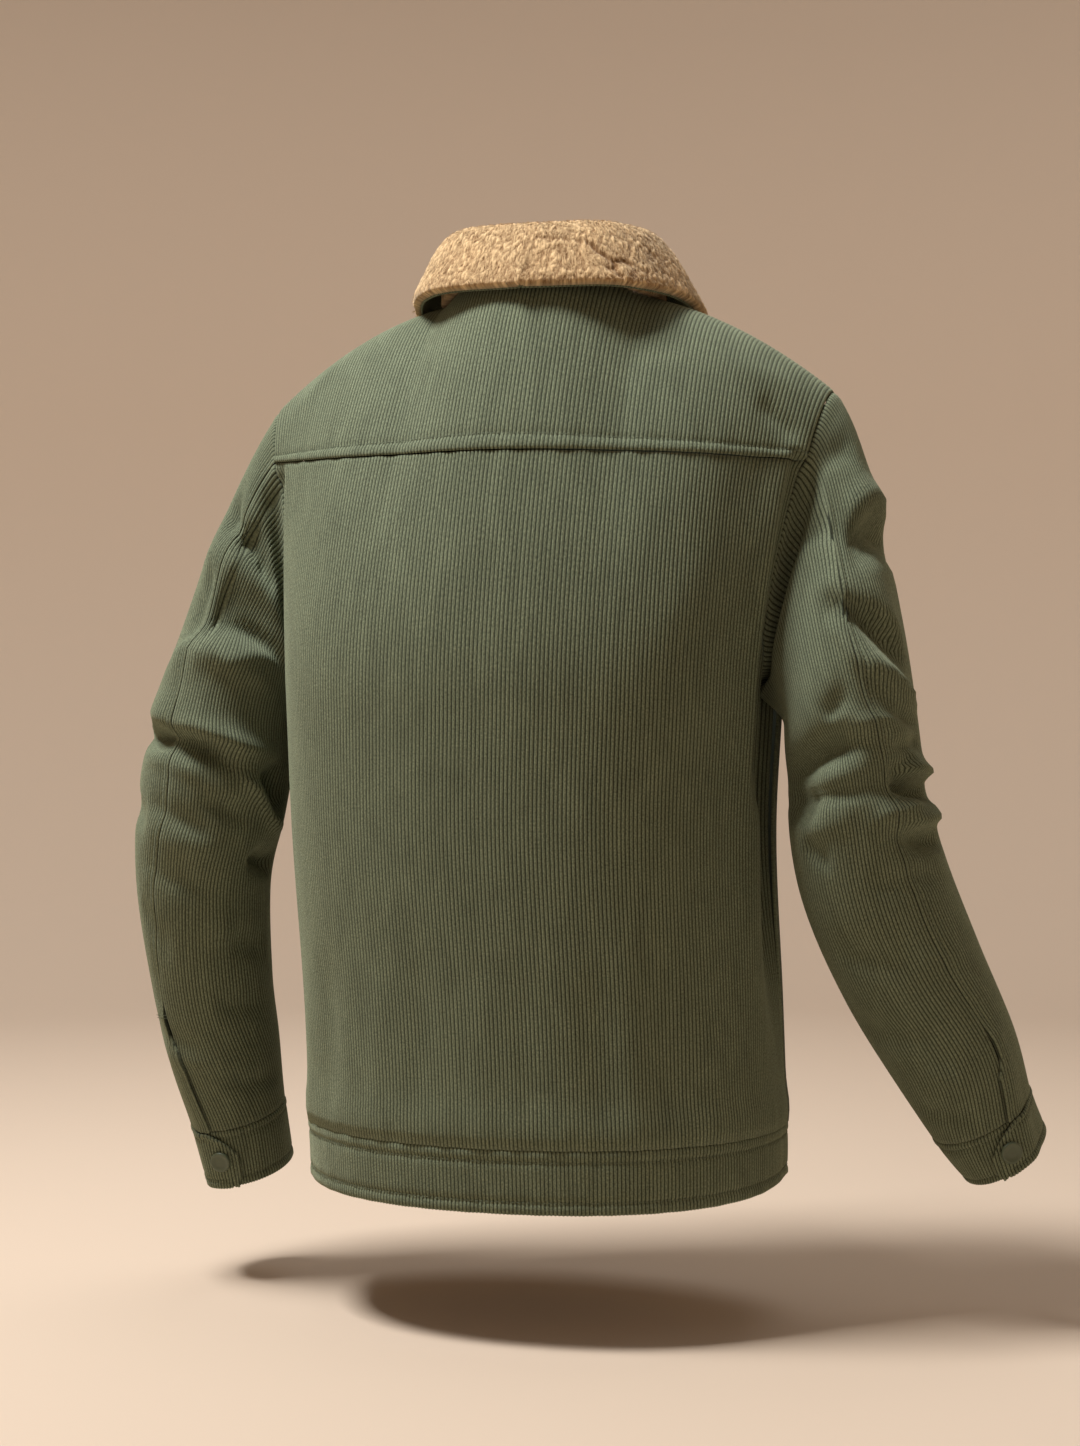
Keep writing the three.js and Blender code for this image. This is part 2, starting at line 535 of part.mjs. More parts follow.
function yoke() {
  const columns = mirrored(yokeHalf);
  const rows = steps(YOKE_STEPS + OVER_STEPS);
  const placeAt = (i, j) => {
    const across = insideArmhole(columns[j]);
    const start = yokeUp(across) + SEAM_GAP / 2;
    if (i <= YOKE_STEPS) return bodyPlace(1, across, mix(start, topUp(1, across), i / YOKE_STEPS), YOKE_LIFT);
    const end = COLUMN - FRONT_YOKE + SEAM_GAP / 2;
    return bodyPlace(-1, across, mix(COLUMN, end, (i - YOKE_STEPS) / OVER_STEPS), YOKE_LIFT);
  };
  const keep = (i, j) => i < YOKE_STEPS || j < ARM_STEPS || j >= columns.length - 1 - ARM_STEPS;
  return clothWall("yoke", corduroy(), rows, columns, placeAt, CORDUROY + YOKE_LIFT, keep);
}

const FRONT_LIFT = CORDUROY + 0.5;
const frontLift = (cloth) => FRONT_LIFT * ease((FRONT_LAP.flat + FRONT_LAP.ramp - cloth) / FRONT_LAP.ramp);

// A front, from its edge at the centre to the side seam. sign is 1 for the left, which lies over the right.
function frontPanel(name, sign) {
  const edge = -(sign > 0 ? FRONT_LAP.over : FRONT_LAP.under) / HALF_CHEST;
  const lap = between(edge, 0, 2);
  const columns = join(lap, backHalf);
  const lastNeck = 2 + NECK_STEPS;
  const lastArm = lastNeck + ARM_STEPS;
  const rows = steps(LOWER_STEPS + UPPER_STEPS + NECK_ROWS);
  const yokeEdge = COLUMN - FRONT_YOKE - SEAM_GAP / 2;
  const placeAt = (i, j) => {
    const across = insideSeams(columns[j]);
    const lift = sign > 0 ? frontLift(across * HALF_CHEST) : 0;
    const place = (at, up) => bodyPlace(-1, sign * at, up, lift);
    if (i <= LOWER_STEPS) return place(across, underArmhole(across, i));
    const at = insideArmhole(across);
    const yokeAt = mix(SCOOP, topUp(-1, at), (yokeEdge - SCOOP) / (COLUMN - SCOOP));
    if (i <= LOWER_STEPS + UPPER_STEPS) return place(at, mix(SCOOP, yokeAt, (i - LOWER_STEPS) / UPPER_STEPS));
    const inNeck = Math.min(at, neckAcross - halfGap * 4);
    return place(inNeck, mix(yokeAt, topUp(-1, inNeck), (i - LOWER_STEPS - UPPER_STEPS) / NECK_ROWS));
  };
  const keep = (i, j) => i < LOWER_STEPS || j < (i < LOWER_STEPS + UPPER_STEPS ? lastArm : lastNeck);
  return clothWall(name, corduroy(), rows, columns, placeAt, CORDUROY, keep);
}

function waistband() {
  const [over, under] = [FRONT_LAP.over / HALF_CHEST, FRONT_LAP.under / HALF_CHEST];
  const placed = (side, lift) => (across) => ({ side, across, lift: lift(across * HALF_CHEST) });
  const left = between(-over, 1, 14).map(placed(-1, frontLift));
  const back = between(1, -1, 26).map(placed(1, () => 0));
  const right = between(-1, under, 13).map(placed(-1, () => 0));
  const columns = join(left, back, right);
  const rows = steps(3);
  const placeAt = (i, j) => {
    const { side, across, lift } = columns[j];
    const hem = HEM_Z - CHEST_Z + HEM_RISE * across ** 4;
    const top = BAND_TOP_Z - CHEST_Z - SEAM_GAP / 2;
    return bodyPlace(side, across, mix(hem, top, rows[i]), lift + BAND_LIFT);
  };
  return clothWall("waistband", corduroy(), rows, columns, placeAt, DOUBLED);
}

const sleeveRows = join(between(-1, 0, 10), between(0, 2, 12), between(2, CUFF_RUN, 9));
const SLEEVE_HALF_GAP = (SEAM_GAP * 0.75) / SLEEVE_GIRTH;

// A row of a sleeve, kept clear of the armhole seam above and of the cuff's below
function sleeveRun(sleeve, i, around) {
  if (i > 0) return Math.min(sleeveRows[i], CUFF_RUN - SEAM_GAP / 2 / RUN_LENGTH);
  const reach = armholePlace(sleeve, around).point.distanceTo(sectionPoint(sleeve, 0, around));
  return -1 + SEAM_GAP / sleeve.capFullness / reach;
}

function underSleeve(side) {
  const sleeve = SLEEVES[side];
  const columns = sleeve.columns.slice(0, SCOOP_STEPS + UPPER_STEPS + 1);
  const placeAt = (i, j) => {
    const around = clamp(columns[j], SLEEVE_HALF_GAP, sleeve.seam - SLEEVE_HALF_GAP);
    return sleevePlace(sleeve, sleeveRun(sleeve, i, around), around);
  };
  return clothWall(`under_sleeve_${side}`, corduroy(), sleeveRows, columns, placeAt, CORDUROY);
}

function upperSleeve(side) {
  const sleeve = SLEEVES[side];
  const columns = sleeve.columns.slice(SCOOP_STEPS + UPPER_STEPS);
  const placeAt = (i, j) => {
    const open = ease((sleeveRows[i] - sleeve.slitTop) / SLIT_LAP.opens);
    const over = SLIT_LAP.over * ease((sleeveRows[i] - sleeve.slitTop) / SLIT_LAP.opens - 1.6);
    const start = sleeve.seam + SLEEVE_HALF_GAP - over / SLEEVE_GIRTH;
    const share = (columns[j] - sleeve.seam) / (1 - sleeve.seam);
    const around = mix(start, 1 - SLEEVE_HALF_GAP, share);
    const pastSeam = (around - sleeve.seam) * SLEEVE_GIRTH;
    const lift = (CORDUROY + 0.6) * open * ease((SLIT_LAP.ramp - pastSeam) / SLIT_LAP.ramp);
    return sleevePlace(sleeve, sleeveRun(sleeve, i, around), around, lift);
  };
  return clothWall(`upper_sleeve_${side}`, corduroy(), sleeveRows, columns, placeAt, CORDUROY);
}

// How much of the cuff's tab reaches past the seam, from its rounded top corner (0) down to the edge (1)
function tabReach(down) {
  const rounded = Math.sin(clamp(down / 0.6, 0, 1) * (Math.PI / 2)) ** 0.7;
  return rounded * (1 - 0.16 * ease((down - 0.75) * 4));
}

const CUFF_GIRTH = 262;

function cuffPlace(sleeve, down, pastSeam) {
  const run = mix(CUFF_RUN + SEAM_GAP / 2 / RUN_LENGTH, CUFF_RUN + 1, down);
  const over = ease((CUFF_LAP.under + CUFF_LAP.ramp - pastSeam) / CUFF_LAP.ramp);
  const lift = BAND_LIFT + (DOUBLED + 0.6) * (pastSeam < CUFF_GIRTH / 2 ? over : 0);
  return sleevePlace(sleeve, run, sleeve.seam + pastSeam / CUFF_GIRTH, lift);
}

function cuff(side) {
  const sleeve = SLEEVES[side];
  const rows = between(0, 1, 6);
  const columns = join(between(0, 0.25, 6), between(0.25, 1, 18));
  const placeAt = (i, j) => {
    const start = -CUFF_LAP.over * tabReach(rows[i]);
    return cuffPlace(sleeve, rows[i], mix(start, CUFF_GIRTH + CUFF_LAP.under - 2, columns[j]));
  };
  return clothWall(`cuff_${side}`, corduroy(), rows, columns, placeAt, DOUBLED);
}

// Collar: up from the neck seam inside, over the fold, and down outside to its edge
const FOLD_SHARE = 0.42;
const LAP_CLEARANCE = 4; // the stand starts higher in front, where the fronts lap

function collarPoint(turn, down) {
  const sign = Math.sign(turn) || 1;
  const row = alongTable(COLLAR, "turn", Math.abs(turn));
  const clear = SEAM_GAP * 3 + LAP_CLEARANCE * ease((Math.abs(turn) - 90) / 60);
  const neck = neckPoint(turn).add(vector(0, 0, clear));
  const fold = vector(sign * row.foldX, row.foldY, row.foldZ);
  const edge = vector(sign * row.edgeX, row.edgeY, row.edgeZ);
  const outwards = vector(edge.x - neck.x, edge.y - neck.y, 0).normalize();
  const stand = fold.clone().sub(neck).length();
  const fall = edge.clone().sub(fold).length();
  const over = outwards.multiplyScalar(30);
  if (down < FOLD_SHARE) return cubicPoint(neck, fold, vector(0, 0, stand * 1.2), over, down / FOLD_SHARE);
  const hang = edge.clone().sub(fold).setZ((edge.z - fold.z) * 1.3).normalize().multiplyScalar(fall);
  return cubicPoint(fold, edge, over, hang, (down - FOLD_SHARE) / (1 - FOLD_SHARE));
}

function collarPlace(turn, down, lift = 0) {
  const normal = squareTo(collarPoint, turn, down, 0.6, 0.01, 1);
  return { point: collarPoint(turn, down).addScaledVector(normal, lift), normal };
}

const collarColumns = between(-COLLAR_ENDS, COLLAR_ENDS, 36);
const collarRows = join(between(0, 0.3, 2), between(0.3, 0.6, 4), between(0.6, 1, 4));

function collar() {
  const placeAt = (i, j) => collarPlace(collarColumns[j], collarRows[i]);
  return clothWall("collar", fleece(), collarRows, collarColumns, placeAt, PILE);
}

function underCollar() {
  const columns = collarColumns.slice(1, -1);
  const rows = collarRows.slice(-4);
  const placeAt = (i, j) => collarPlace(columns[j], rows[i], -PILE - SEAM_GAP);
  return clothWall("under_collar", corduroy(), rows, columns, placeAt, 1.6);
}

// A snap's cap, seated on a place
function snap(name, place) {
  const { radius, height, sides } = SNAP;
  const profile = [[0, 0], [radius, 0], [radius, height * 0.5], [radius * 0.8, height], [0, height * 1.1]];
  const geometry = new THREE.LatheGeometry(profile.map(([x, y]) => new THREE.Vector2(x, y)), sides);
  const mesh = new THREE.Mesh(geometry, snapEnamel());
  mesh.quaternion.setFromUnitVectors(vector(0, 1, 0), place.normal);
  mesh.position.copy(place.point).addScaledVector(place.normal, SEAM_GAP);
  mesh.name = name;
  return mesh;
}

function frontSnaps() {
  const upAt = (z) => {
    let [low, high] = [BAND_UP, COLUMN];
    for (let i = 0; i < 30; i++) {
      const middle = (low + high) / 2;
      if (plainBodyPoint(-1, 0, middle).z < z) low = middle;
      else high = middle;
    }
    return low;
  };
  return FRONT_SNAP_HEIGHTS.map((z, i) => {
    const place = bodyPlace(-1, 0, upAt(z), FRONT_LIFT + SEAM_GAP / 2);
    return snap(`front_snap_${i + 1}`, place);
  });
}

function waistbandSnap() {
  const up = (HEM_Z + BAND_TOP_Z) / 2 - CHEST_Z;
  return snap("waistband_snap", bodyPlace(-1, 0, up, FRONT_LIFT + BAND_LIFT + SEAM_GAP / 2));
}

const cuffSnap = (side) => snap(`cuff_snap_${side}`, cuffPlace(SLEEVES[side], 0.5, -10));

const group = new THREE.Group();
group.add(backPanel(), yoke(), frontPanel("front_left", 1), frontPanel("front_right", -1), waistband());
for (const side of ["left", "right"]) {
  group.add(underSleeve(side), upperSleeve(side), cuff(side), cuffSnap(side));
}
group.add(collar(), underCollar(), ...frontSnaps(), waistbandSnap());

export default group;
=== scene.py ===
"""A corduroy jacket with a fleece collar, filled out as if worn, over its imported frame.

Shapes are worked out in millimetres of cloth and written into the meshes in metres. A place on the body is
(side, across, up) and a place on a sleeve is (run, around), as the pieces are cut and sewn.
"""

import functools
import math

import bmesh
import bpy
import numpy as np
from mathutils import Matrix, Vector, noise


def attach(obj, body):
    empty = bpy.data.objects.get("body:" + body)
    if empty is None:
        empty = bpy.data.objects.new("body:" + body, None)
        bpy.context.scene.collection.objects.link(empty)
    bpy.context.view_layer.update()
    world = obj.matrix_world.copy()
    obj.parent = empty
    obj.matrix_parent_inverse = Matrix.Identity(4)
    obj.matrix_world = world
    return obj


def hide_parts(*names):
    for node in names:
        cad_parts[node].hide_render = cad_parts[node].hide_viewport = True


bl_info = {
    "name": "Corduroy jacket",
    "version": (1, 0, 0),
    "blender": (4, 5, 0),
    "location": "View3D > Sidebar > Jacket",
    "description": "Dresses the jacket's frame in corduroy, fleece, stitching and snaps",
    "category": "Object",
}

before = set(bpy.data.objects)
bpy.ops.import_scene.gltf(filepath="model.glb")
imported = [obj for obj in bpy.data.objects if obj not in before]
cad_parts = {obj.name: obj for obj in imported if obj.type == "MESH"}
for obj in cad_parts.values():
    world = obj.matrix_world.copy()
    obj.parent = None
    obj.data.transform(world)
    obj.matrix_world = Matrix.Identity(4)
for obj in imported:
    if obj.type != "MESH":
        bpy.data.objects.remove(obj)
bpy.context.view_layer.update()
BODY = "root"
MM = 0.001

# Cloth, in millimetres
CORDUROY = 2.4
DOUBLED = 3.2
PILE = 7.0
UNDER_COLLAR = 1.6
SEAM_GAP = 0.3

# Body
CHEST_Z = -300
HEM_Z = -656
BAND_TOP_Z = -611
HEM_RISE = 8
YOKE_Z = {"centre": -128, "left": -119, "right": -134}
HALF_CHEST = 262
COLUMN = 290
FRONT_YOKE = 30
YOKE_LIFT = 0.8
BAND_LIFT = 0.5
# The top of the waistband turns in this far under the edge of the back
BAND_TUCK = 0.6
BAND_TALL = BAND_TOP_Z - HEM_Z + BAND_TUCK
NECK = {"half_width": 78, "back_depth": 62, "front_depth": 64}
RIDGE = {
    "y": -20, "neck_z": -7, "rise_behind": 58, "rise_in_front": 15, "bluntness": 1.35,
    "rounding_left": 45, "rounding_right": 38,
}
TIP = {"x": 212, "y": -14, "z": -80}
NECK_CLOTH = 82
TIP_CLOTH = 212
SCOOP = 95
NECK_ACROSS = NECK_CLOTH / HALF_CHEST
ARMHOLE_ACROSS = TIP_CLOTH / HALF_CHEST
BODY_COLUMNS = ("z", "half_width", "back", "front", "shift_x", "shift_y", "corner")
BODY_RINGS = (
    (-656, 178, 154, 106, 3, -20, 2.15),
    (-611, 179, 156, 108, 4, -20, 2.15),
    (-523, 179, 158, 108, 7, -20, 2.2),
    (-400, 180, 161, 108, 13, -18, 2.3),
    (-300, 184, 160, 106, 12, -16, 2.4),
)

# Laps, and how far apart their two layers lie
LAP_GAP = {"front": 0.5, "sleeve": 0.6}
FRONT_LAP = {"over": 17, "under": 13, "flat": 26, "ramp": 28}
CUFF_LAP = {"over": 26, "under": 6, "ramp": 20}
SLIT_LAP = {"over": 8, "ramp": 22, "opens": 0.28}

# Sleeves
CUFF_RUN = 5
CAP = {"half_width": 205, "height": 150}
CAP_FULLNESS = {"left": 0.28, "right": 0.4}
SLEEVE_GIRTH = 400
RUN_LENGTH = 62
CAP_LENGTH = 180
CUFF_GIRTH = 262
CUFF_TALL = 47
SLEEVE_COLUMNS = ("run", "x", "y", "z", "wide", "deep", "turn")
SLEEVE_STATIONS = {
    "left": (
        (0, 252, 3, -318, 52, 71, -31),
        (1, 262, 9, -377, 55, 65, -35),
        (2, 271, 4, -437, 50, 59, -25),
        (3, 271, -13, -516, 45, 53, -16),
        (4, 267, -27, -570, 42, 50, -23),
        (5, 261, -40, -621, 36, 45, -32),
        (6, 255, -50, -667, 33, 42, -31),
    ),
    "right": (
        (0, 226, 3, -318, 47, 74, -14),
        (1, 231, 8, -370, 50, 67, -3),
        (2, 242, 4, -428, 53, 60, -3),
        (3, 266, -10, -492, 52, 55, -1),
        (4, 295, -25, -553, 47, 51, 9),
        (5, 314, -38, -598, 39, 46, 3),
        (6, 331, -48, -629, 33, 43, -7),
    ),
}
OUTWARDS = {"left": 1, "right": -1}
SLIT_TOP = {"left": 3, "right": 3.65}

# Folds: from one place on the cloth to another, then half the fold's width and its height
BODY_FOLDS = (
    (-0.92, -180, -0.92, 190, 17, -19),
    (-0.8, -180, -0.79, 160, 20, 6),
    (-0.66, 192, -0.76, 182, 9, -4),
    (-0.5, -300, -0.44, -180, 15, -3),
    (-0.3, -300, -0.28, -200, 14, -2.5),
    (0.55, -300, 0.5, -190, 16, -2.5),
    # finer ones, which the frame leaves out
    (-0.38, -310, -0.36, -170, 10, 1.4),
    (-0.12, -310, -0.09, -190, 12, -1.2),
    (0.02, -310, 0.03, -210, 10, 1.0),
    (0.2, -310, 0.17, -180, 12, -1.3),
    (0.34, -310, 0.31, -200, 10, 1.0),
    (0.7, -310, 0.66, -220, 12, 1.4),
    (-0.62, -310, -0.6, -230, 9, 1.6),
    (-0.56, 80, -0.7, 150, 16, -1.6),
    (-0.45, 30, -0.62, 110, 14, 1.4),
    (0.5, 60, 0.66, 140, 18, -1.2),
    (0.0, 60, 0.05, 150, 26, 0.8),
    (-0.2, -80, -0.24, 60, 24, -0.9),
    (0.3, -100, 0.26, 40, 24, -0.9),
    (-0.55, 205, -0.72, 226, 12, 1.6),
    (0.6, 235, 0.72, 215, 12, 1.2),
    (0.86, -290, 0.86, 60, 12, -3.0),
)
SLEEVE_FOLDS = {
    "left": (
        (-0.82, 0.05, -0.84, 0.32, 18, -17),
        (-0.55, 0.43, -0.66, 0.29, 13, -7),
        (-0.42, 0.45, -0.58, 0.29, 12, 4),
        (-0.22, 0.45, -0.52, 0.2, 14, -13),
        (-0.14, 0.44, -0.3, 0.2, 12, 5),
        (0.06, 0.48, 0.33, 0.19, 12, 8),
        (0.4, 0.5, 0.47, 0.27, 10, -9),
        (0.55, 0.16, 0.95, 0.12, 13, -10),
        (0.5, 0.24, 1.2, 0.09, 10, 6),
        (1.33, 0.45, 1.2, 0.55, 10, -5),
        (1.6, 0.15, 1.81, 0.05, 11, -6),
        (-0.3, 0.62, -0.5, 0.8, 13, -7),
        (0.7, 0.62, 0.5, 0.85, 12, -9),
        (1.05, 0.64, 0.85, 0.88, 12, 5),
        (1.5, 0.66, 1.35, 0.86, 11, -6),
        # finer ones, which the frame leaves out
        (-0.56, 0.444, -0.64, 0.3, 5, -4.5),
        (-0.64, 0.3, -0.7, 0.25, 6, -5.5),
        (-0.72, 0.33, -0.62, 0.4, 7, 3.0),
        (-0.57, 0.3, -0.66, 0.22, 6, 3.0),
        (-0.36, 0.34, -0.58, 0.2, 5, 3.6),
        (-0.18, 0.45, -0.24, 0.28, 5, 4.0),
        (-0.24, 0.28, -0.5, 0.18, 5, 3.6),
        (-0.42, 0.396, -0.36, 0.41, 7, -3.0),
        (0.3, 0.52, 0.27, 0.3, 6, 4.5),
        (0.27, 0.3, 0.31, 0.16, 6, 4.0),
        (0.38, 0.53, 0.38, 0.33, 4.5, -6.0),
        (0.39, 0.32, 0.62, 0.2, 6, -5.5),
        (0.55, 0.23, 1.2, 0.1, 5, 4.0),
        (0.62, 0.46, 0.72, 0.3, 6, 3.0),
        (0.97, 0.29, 1.1, 0.19, 7, -4.5),
        (0.85, 0.29, 0.84, 0.2, 6, 3.5),
        (1.1, 0.42, 1.25, 0.28, 7, -3.5),
        (1.4, 0.4, 1.5, 0.24, 8, 2.6),
        (1.6, 0.144, 1.81, 0.06, 6, -4.0),
        (1.75, 0.4, 1.95, 0.24, 8, -3.0),
        (2.29, 0.228, 2.41, 0.162, 7, 3.2),
        (2.5, 0.168, 2.68, 0.066, 7, -3.6),
        (2.2, 0.42, 2.5, 0.34, 8, -2.8),
        (3.1, 0.2, 3.3, 0.1, 8, -2.8),
        (3.4, 0.44, 3.6, 0.3, 9, -2.0),
        (3.8, 0.42, 4.0, 0.2, 9, 2.0),
        (4.35, 0.24, 4.5, 0.08, 8, -2.4),
        (0.1, 0.7, 0.0, 0.86, 8, 3.0),
        (2.1, 0.64, 2.0, 0.84, 9, -3.4),
        (3.2, 0.7, 3.4, 0.9, 10, -3.0),
    ),
    "right": (
        (-0.82, 0.05, -0.84, 0.32, 18, -17),
        (-0.46, 0.41, -0.44, 0.57, 10, -7),
        (-0.56, 0.41, -0.53, 0.57, 11, 5),
        (-0.45, 0.33, -0.21, 0.5, 11, 6),
        (-0.37, 0.34, -0.16, 0.48, 11, -6),
        (-0.18, 0.36, 0.04, 0.5, 11, 6),
        (0.82, 0.07, 0.48, 0.3, 14, -9),
        (0.22, 0.32, 0.38, 0.46, 12, 5),
        (0.74, 0.4, 0.8, 0.54, 10, 6),
        (0.96, 0.35, 1.07, 0.53, 10, -10),
        (1.3, 0.33, 1.4, 0.54, 10, 6),
        (1.62, 0.34, 1.74, 0.5, 10, -5),
        (1.1, 0.06, 1.08, 0.18, 11, -7),
        (-0.32, 0.62, -0.5, 0.8, 13, -7),
        (0.75, 0.62, 0.55, 0.85, 12, -9),
        (1.1, 0.64, 0.9, 0.88, 12, 5),
        (1.55, 0.66, 1.4, 0.86, 11, -6),
        # finer ones, which the frame leaves out
        (-0.88, 0.37, -0.72, 0.46, 8, -3.6),
        (-0.72, 0.31, -0.5, 0.41, 8, -4.5),
        (-0.5, 0.42, -0.46, 0.57, 5, -5.0),
        (-0.58, 0.42, -0.54, 0.58, 6, 3.5),
        (-0.44, 0.334, -0.36, 0.376, 5, 4.0),
        (-0.36, 0.376, -0.2, 0.5, 5, 4.5),
        (-0.37, 0.345, -0.17, 0.49, 5, -5.0),
        (-0.32, 0.324, -0.18, 0.36, 5, 3.6),
        (-0.18, 0.36, -0.04, 0.51, 5, 5.0),
        (-0.07, 0.33, 0.03, 0.26, 8, -4.5),
        (0.03, 0.4, 0.12, 0.5, 6, -3.5),
        (0.2, 0.33, 0.02, 0.44, 7, 4.0),
        (0.5, 0.4, 0.42, 0.5, 6, -3.6),
        (0.72, 0.06, 0.46, 0.31, 7, -5.0),
        (0.64, 0.44, 0.8, 0.38, 5, -5.0),
        (0.74, 0.42, 0.84, 0.53, 5, 4.5),
        (0.97, 0.39, 1.14, 0.5, 4.5, -6.5),
        (1.27, 0.33, 1.14, 0.44, 5, 5.0),
        (1.4, 0.4, 1.46, 0.5, 5, 4.0),
        (1.53, 0.36, 1.72, 0.48, 6, -4.5),
        (0.97, 0.06, 0.95, 0.31, 7, -5.5),
        (0.86, 0.1, 0.84, 0.28, 7, 3.0),
        (1.48, 0.138, 1.63, 0.198, 7, -4.0),
        (1.3, 0.16, 1.24, 0.26, 8, 3.0),
        (1.95, 0.3, 2.1, 0.44, 8, -3.0),
        (2.5, 0.16, 2.75, 0.3, 9, -3.0),
        (2.8, 0.3, 2.95, 0.42, 9, 2.4),
        (3.3, 0.1, 3.5, 0.24, 9, -2.4),
        (3.94, 0.198, 4.21, 0.258, 8, 3.0),
        (4.4, 0.12, 4.6, 0.24, 8, -2.4),
        (0.1, 0.7, 0.0, 0.86, 8, 3.0),
        (2.1, 0.64, 2.0, 0.84, 9, -3.4),
        (3.2, 0.7, 3.4, 0.9, 10, -3.0),
    ),
}
# A fold falls more steeply on its lower side, and the troughs are drawn this much deeper than in the frame
FOLD_LEAN = 0.3
CREASE_DEPTH = 1.25
# Creases get this much shallower where they cross the stiff seam down the back of a sleeve
SEAM_STIFFNESS = 0.5

# Each armhole seam lies in a valley, below the edge of the back. It is this deep and wide, and its ends are
# at these places above the chest.
VALLEY = {"left": 7.0, "right": 9.0, "wide": 11.0, "from": -95, "to": 178, "fades": 50}

# Collar: the fold line and the outer edge, at some turns in degrees from the centre back
COLLAR_ENDS = 162
FOLD_SHARE = 0.42
LAP_CLEARANCE = 4
COLLAR_COLUMNS = ("turn", "fold_x", "fold_y", "fold_z", "edge_x", "edge_y", "edge_z")
COLLAR = (
    (0, 0, 46, 43, 0, 80, -4),
    (45, 57, 27, 44, 80, 50, -3),
    (90, 80, -26, 36, 113, -40, -12),
    (130, 60, -76, -4, 97, -104, -66),
    (162, 18, -100, -44, 52, -136, -130),
)

# A snap's cap, as radii and heights, and how far it is held off its cloth
SNAP_GAP = 0.15
SNAP_PROFILE = (
    (0, 1.5), (3.4, 1.55), (5.0, 1.9), (6.1, 2.5), (7.0, 2.75), (7.7, 2.4), (8.0, 1.6), (7.9, 0.5), (7.4, 0),
)
FRONT_SNAP_HEIGHTS = (-120, -230, -340, -450, -560)

# Sewing, in millimetres
STITCH_LENGTH = 3.0
STITCH_STEP = 3.7
STITCH_WIDTH = 0.62
YOKE_STITCH = 7.0
BAND_STITCH = 9.0
CUFF_STITCH = 6.0
TAB_STITCH = 5.0
SLIT_STITCH = 5.5
PLACKET_STITCHES = (6.0, 34)
TROUGH_DEPTH = 1.0
TROUGH_WIDTH = 1.5


def linear(hex_colour):
    """An sRGB colour such as "#5a5f45" as linear red, green and blue."""
    parts = [int(hex_colour[i : i + 2], 16) / 255 for i in (1, 3, 5)]
    return tuple(c / 12.92 if c <= 0.04045 else ((c + 0.055) / 1.055) ** 2.4 for c in parts)


# Settings


class JacketCloth(bpy.types.PropertyGroup):
    """The corduroy and its sewing."""

    wale: bpy.props.FloatProperty(
        name="Wale", description="From one wale to the next", default=2.75 * MM, unit="LENGTH", precision=5
    )
    relief: bpy.props.FloatProperty(
        name="Relief", description="Depth of the grooves between wales",
        default=0.62 * MM, unit="LENGTH", precision=5,
    )
    pile: bpy.props.FloatVectorProperty(
        name="Pile", description="Colour on top of the wales", default=linear("#686f59"), subtype="COLOR"
    )
    # Groove colour: painted shade in the recesses between the wales, much darker than the pile on their tops
    groove: bpy.props.FloatVectorProperty(
        name="Groove", description="Colour between the wales", default=linear("#2b2f24"), subtype="COLOR"
    )
    reverse: bpy.props.FloatVectorProperty(
        name="Reverse", description="Colour of the woven back", default=linear("#3a3e30"), subtype="COLOR"
    )
    thread: bpy.props.FloatVectorProperty(
        name="Thread", description="Colour of the stitches", default=linear("#5d644f"), subtype="COLOR"
    )
    enamel: bpy.props.FloatVectorProperty(
        name="Enamel", description="Colour of the snaps", default=linear("#4b543e"), subtype="COLOR"
    )


class JacketFleece(bpy.types.PropertyGroup):
    """The pile of the collar."""

    curl: bpy.props.FloatProperty(
        name="Curl", description="Size of one curl of the pile", default=2.9 * MM, unit="LENGTH", precision=5
    )
    height: bpy.props.FloatProperty(
        name="Height", description="How far the curls stand out", default=2.2 * MM, unit="LENGTH", precision=5
    )
    tip: bpy.props.FloatVectorProperty(
        name="Tip", description="Colour of the curls", default=linear("#dfbf90"), subtype="COLOR"
    )
    # Root colour: painted shade between the curls and in the partings of the pile
    root: bpy.props.FloatVectorProperty(
        name="Root", description="Colour between the curls", default=linear("#6e4c2a"), subtype="COLOR"
    )


class JacketStudio(bpy.types.PropertyGroup):
    """Floor and light."""

    floor: bpy.props.FloatProperty(
        name="Floor", description="Height of the floor", default=-0.75, unit="LENGTH"
    )
    paper: bpy.props.FloatVectorProperty(
        name="Paper", description="Colour of floor and backdrop", default=linear("#cdbaa5"), subtype="COLOR"
    )
    key: bpy.props.FloatProperty(
        name="Key", description="Strength of the main light", default=80, unit="POWER"
    )
    fill: bpy.props.FloatProperty(
        name="Fill", description="Strength of the light from all sides", default=0.24
    )


# Tables, curves and folds


def along_table(columns, table, at):
    """Every column of a table at some places between its rows, on a smooth curve through them."""
    rows = np.array(table, float)
    keys = rows[:, 0]
    last = len(rows) - 1
    at = np.asarray(at, float)
    i = np.clip(np.searchsorted(keys, at, side="left") - 1, 0, last - 1)
    span = keys[i + 1] - keys[i]
    t = (at - keys[i]) / span

    def slope(j):
        before = rows[np.maximum(j - 1, 0)]
        after = rows[np.minimum(j + 1, last)]
        return (after - before) / (after[..., :1] - before[..., :1]) * span[..., None]

    t = t[..., None]
    values = (
        rows[i] * (2 * t**3 - 3 * t**2 + 1)
        + rows[i + 1] * (3 * t**2 - 2 * t**3)
        + slope(i) * (t**3 - 2 * t**2 + t)
        + slope(i + 1) * (t**3 - t**2)
    )
    return {name: values[..., k] for k, name in enumerate(columns)}


def cubic_point(a, b, leave, arrive, t):
    """Points on curves from a to b that leave and arrive in the directions given."""
    t = t[..., None]
    return (
        a * (2 * t**3 - 3 * t**2 + 1)
        + b * (3 * t**2 - 2 * t**3)
        + leave * (t**3 - 2 * t**2 + t)
        + arrive * (t**3 - t**2)
    )


